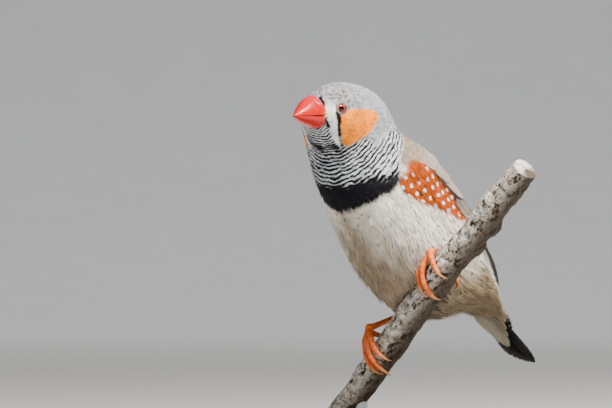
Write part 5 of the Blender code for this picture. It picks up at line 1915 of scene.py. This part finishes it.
def make_branch(steps=620, around=150):
    """The branch with fine bark relief, closed at both cut ends."""
    along = np.linspace(-PERCH_DOWN, PERCH_UP, steps)[:, None]
    turn = (np.arange(around) * 2 * math.pi / around)[None, :]
    along, turn = np.broadcast_arrays(along, turn)
    smooth = perch_points(along, turn)
    start, direction, out, top = perch_axes()
    long_way = smooth @ direction
    squeezed = smooth - direction * (long_way * 0.55)[..., None]
    plates = waves(squeezed, 2.6, 21, 16)
    chips = waves(squeezed, 1.1, 22, 16)
    grain = waves(smooth, 0.6, 23, 14)
    relief = np.tanh(plates * 1.6 + 0.4) * 0.5 + np.tanh(chips * 1.8) * 0.45 + grain * 0.25
    edge = np.clip(np.minimum(along + PERCH_DOWN, PERCH_UP - along), 0, 1)
    points = perch_points(along, turn, relief * BARK_RELIEF * edge - BARK_SINK)
    extra, ends = len(END_SHARES), []
    for ring in (points[:1], points[-1:]):
        middle = ring.mean(axis=1, keepdims=True)
        ends.append(middle + (ring - middle) * np.array(END_SHARES)[:, None, None])
    points = np.concatenate([ends[0], points, ends[1][::-1]]).reshape(-1, 3)
    flat_end = np.full((extra, around), 0.5)
    relief = np.concatenate([flat_end, relief, flat_end])
    turn = np.concatenate([turn[:extra], turn, turn[:extra]])
    branch = outward(make_piece("branch_bark", points, tube_faces(steps + 2 * extra, around), bark_finish()))
    lit = normalised(np.array(LIT_AND_LICHEN_SIDE))
    way = out * np.cos(turn)[..., None] + top * np.sin(turn)[..., None]
    give(branch.data, "relief", relief.ravel())
    # How far each point faces up: it places the lichen, and the painted shade on the underside.
    give(branch.data, "upper", (way @ lit * 0.5 + 0.5).ravel())
    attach(branch, "root")
    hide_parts("perch")
    print("bark faces:", len(branch.data.polygons))


make_branch()

# %% [markdown]
# ## The stand
# The branch is held by two slim rods on a plain base. Their shapes are right as solids, so they
# stay, and only get surfaces: brushed metal for the rods, and dark satin board for the base.


# %% The stand
def stand_finishes():
    """Dark satin board and brushed metal."""
    board = Finish("stand_board", roughness=0.42, Coat_Weight=0.15)
    grain = board.noise(6.0, 5.0, 0.6, (0.25, 1.0, 3.0))
    board.wear(Base_Color=board.mix(grain, (0.035, 0.030, 0.027), (0.075, 0.062, 0.052)))
    board.wear(Roughness=board.patchy(3.0, 0.36, 0.52, 3.0))
    board.bump(board.noise(1.0, 4.0, 0.6, (0.3, 1.0, 3.0)), 0.03, 0.4)
    metal = Finish("stand_metal", roughness=0.34, Metallic=1.0)
    brushed = metal.noise(0.5, 3.0, 0.5, (1.0, 1.0, 0.06))
    metal.wear(Base_Color=metal.mix(brushed, (0.42, 0.42, 0.43), (0.60, 0.60, 0.61)))
    metal.wear(Roughness=metal.step(brushed, 0.3, 0.7, 0.26, 0.42))
    return board, metal


board, metal = stand_finishes()
for node_name, finish in (("stand_base", board), ("stand_rod_1", metal), ("stand_rod_2", metal)):
    slots = frame["nodes"][node_name].material_slots
    for slot in slots:
        slot.material = finish.material
print("stand slots:", len(slots))

# %% [markdown]
# ## Floor, backdrop and light
# A pale floor curves up into a backdrop a long way behind the bird, as a roll of paper does in a
# studio. The key light stands high on the camera's right, where the sun is in the picture, and is
# small enough to draw a soft shadow. A weak light near the camera opens that shadow, one from
# behind edges the back, and a wide one turned away from the bird lights only the backdrop.


# %% Stage and lights
FLOOR_NEAR, FLOOR_FAR, FLOOR_SIDE = 3.2, -1.9, 4.5
BACKDROP_BEND, BACKDROP_HIGH = 2.2, 4.5
# azimuth, elevation, distance, width, watts, colour, and the turn away from the bird
LIGHTS = {
    "key_light": (76.0, 57.0, 0.9, 0.18, 33.0, (1.0, 0.96, 0.89), 0.0),
    "fill_light": (26.0, 24.0, 1.1, 0.9, 1.5, (0.94, 0.96, 1.0), 0.0),
    "backdrop_light": (CAMERA_AZIMUTH + 180.0, 38.0, 2.2, 1.6, 32.0, (0.98, 0.99, 1.0), 180.0),
    "rim_light": (175.0, 40.0, 0.9, 0.4, 4.0, (1.0, 0.98, 0.95), 0.0),
}
ROOM_COLOUR, ROOM_LIGHT = (0.75, 0.78, 0.82, 1.0), 0.14


def make_stage():
    """A pale sweep of floor that curves up behind the object."""
    finish = Finish("stage_paper", roughness=0.95, Specular_IOR_Level=0.1)
    finish.wear(Base_Color=finish.mix(finish.noise(40.0, 4.0), (0.43, 0.435, 0.43), (0.47, 0.475, 0.47)))
    toward, right = camera_directions()
    profile = [(FLOOR_NEAR, 0.0)]
    for bend in np.linspace(0, math.pi / 2, 64):
        rise = BACKDROP_BEND - BACKDROP_BEND * math.cos(bend)
        profile.append((FLOOR_FAR - BACKDROP_BEND * math.sin(bend), rise))
    profile.append((FLOOR_FAR - BACKDROP_BEND, BACKDROP_HIGH))
    points = []
    for near, high in profile:
        for side in (-FLOOR_SIDE, FLOOR_SIDE):
            points.append(tuple(toward * near + right * side + np.array([0, 0, high])))
    faces = [(2 * i, 2 * i + 1, 2 * i + 3, 2 * i + 2) for i in range(len(profile) - 1)]
    mesh = bpy.data.meshes.new("stage_sweep")
    mesh.from_pydata(points, [], faces)
    mesh.materials.append(finish.material)
    mesh.polygons.foreach_set("use_smooth", np.full(len(faces), True))
    sweep = to_scene("stage_sweep", mesh)


def make_light(name, azimuth, elevation, away, size, power, colour, aim):
    """A square soft light aimed at the bird, or turned round from it by some degrees."""
    data = bpy.data.lights.new(name, "AREA")
    data.shape = "SQUARE"
    data.size = size
    data.energy = power
    data.color = colour
    light = to_scene(name, data)
    a, e = math.radians(azimuth), math.radians(elevation)
    way = np.array([math.sin(a) * math.cos(e), -math.cos(a) * math.cos(e), math.sin(e)])
    light.location = to_world(np.zeros(3)) + way * away
    light.rotation_euler = (math.radians(90.0 - elevation), 0.0, math.radians(azimuth + aim))


def make_room():
    """A weak even light from all round."""
    world = bpy.context.scene.world or bpy.data.worlds.new("studio")
    bpy.context.scene.world = world
    world.use_nodes = True
    room = world.node_tree.nodes["Background"]
    room.inputs["Color"].default_value = ROOM_COLOUR
    room.inputs["Strength"].default_value = ROOM_LIGHT


make_stage()
for light_name, values in LIGHTS.items():
    make_light(light_name, *values)
make_room()
print("lights:", len(LIGHTS))
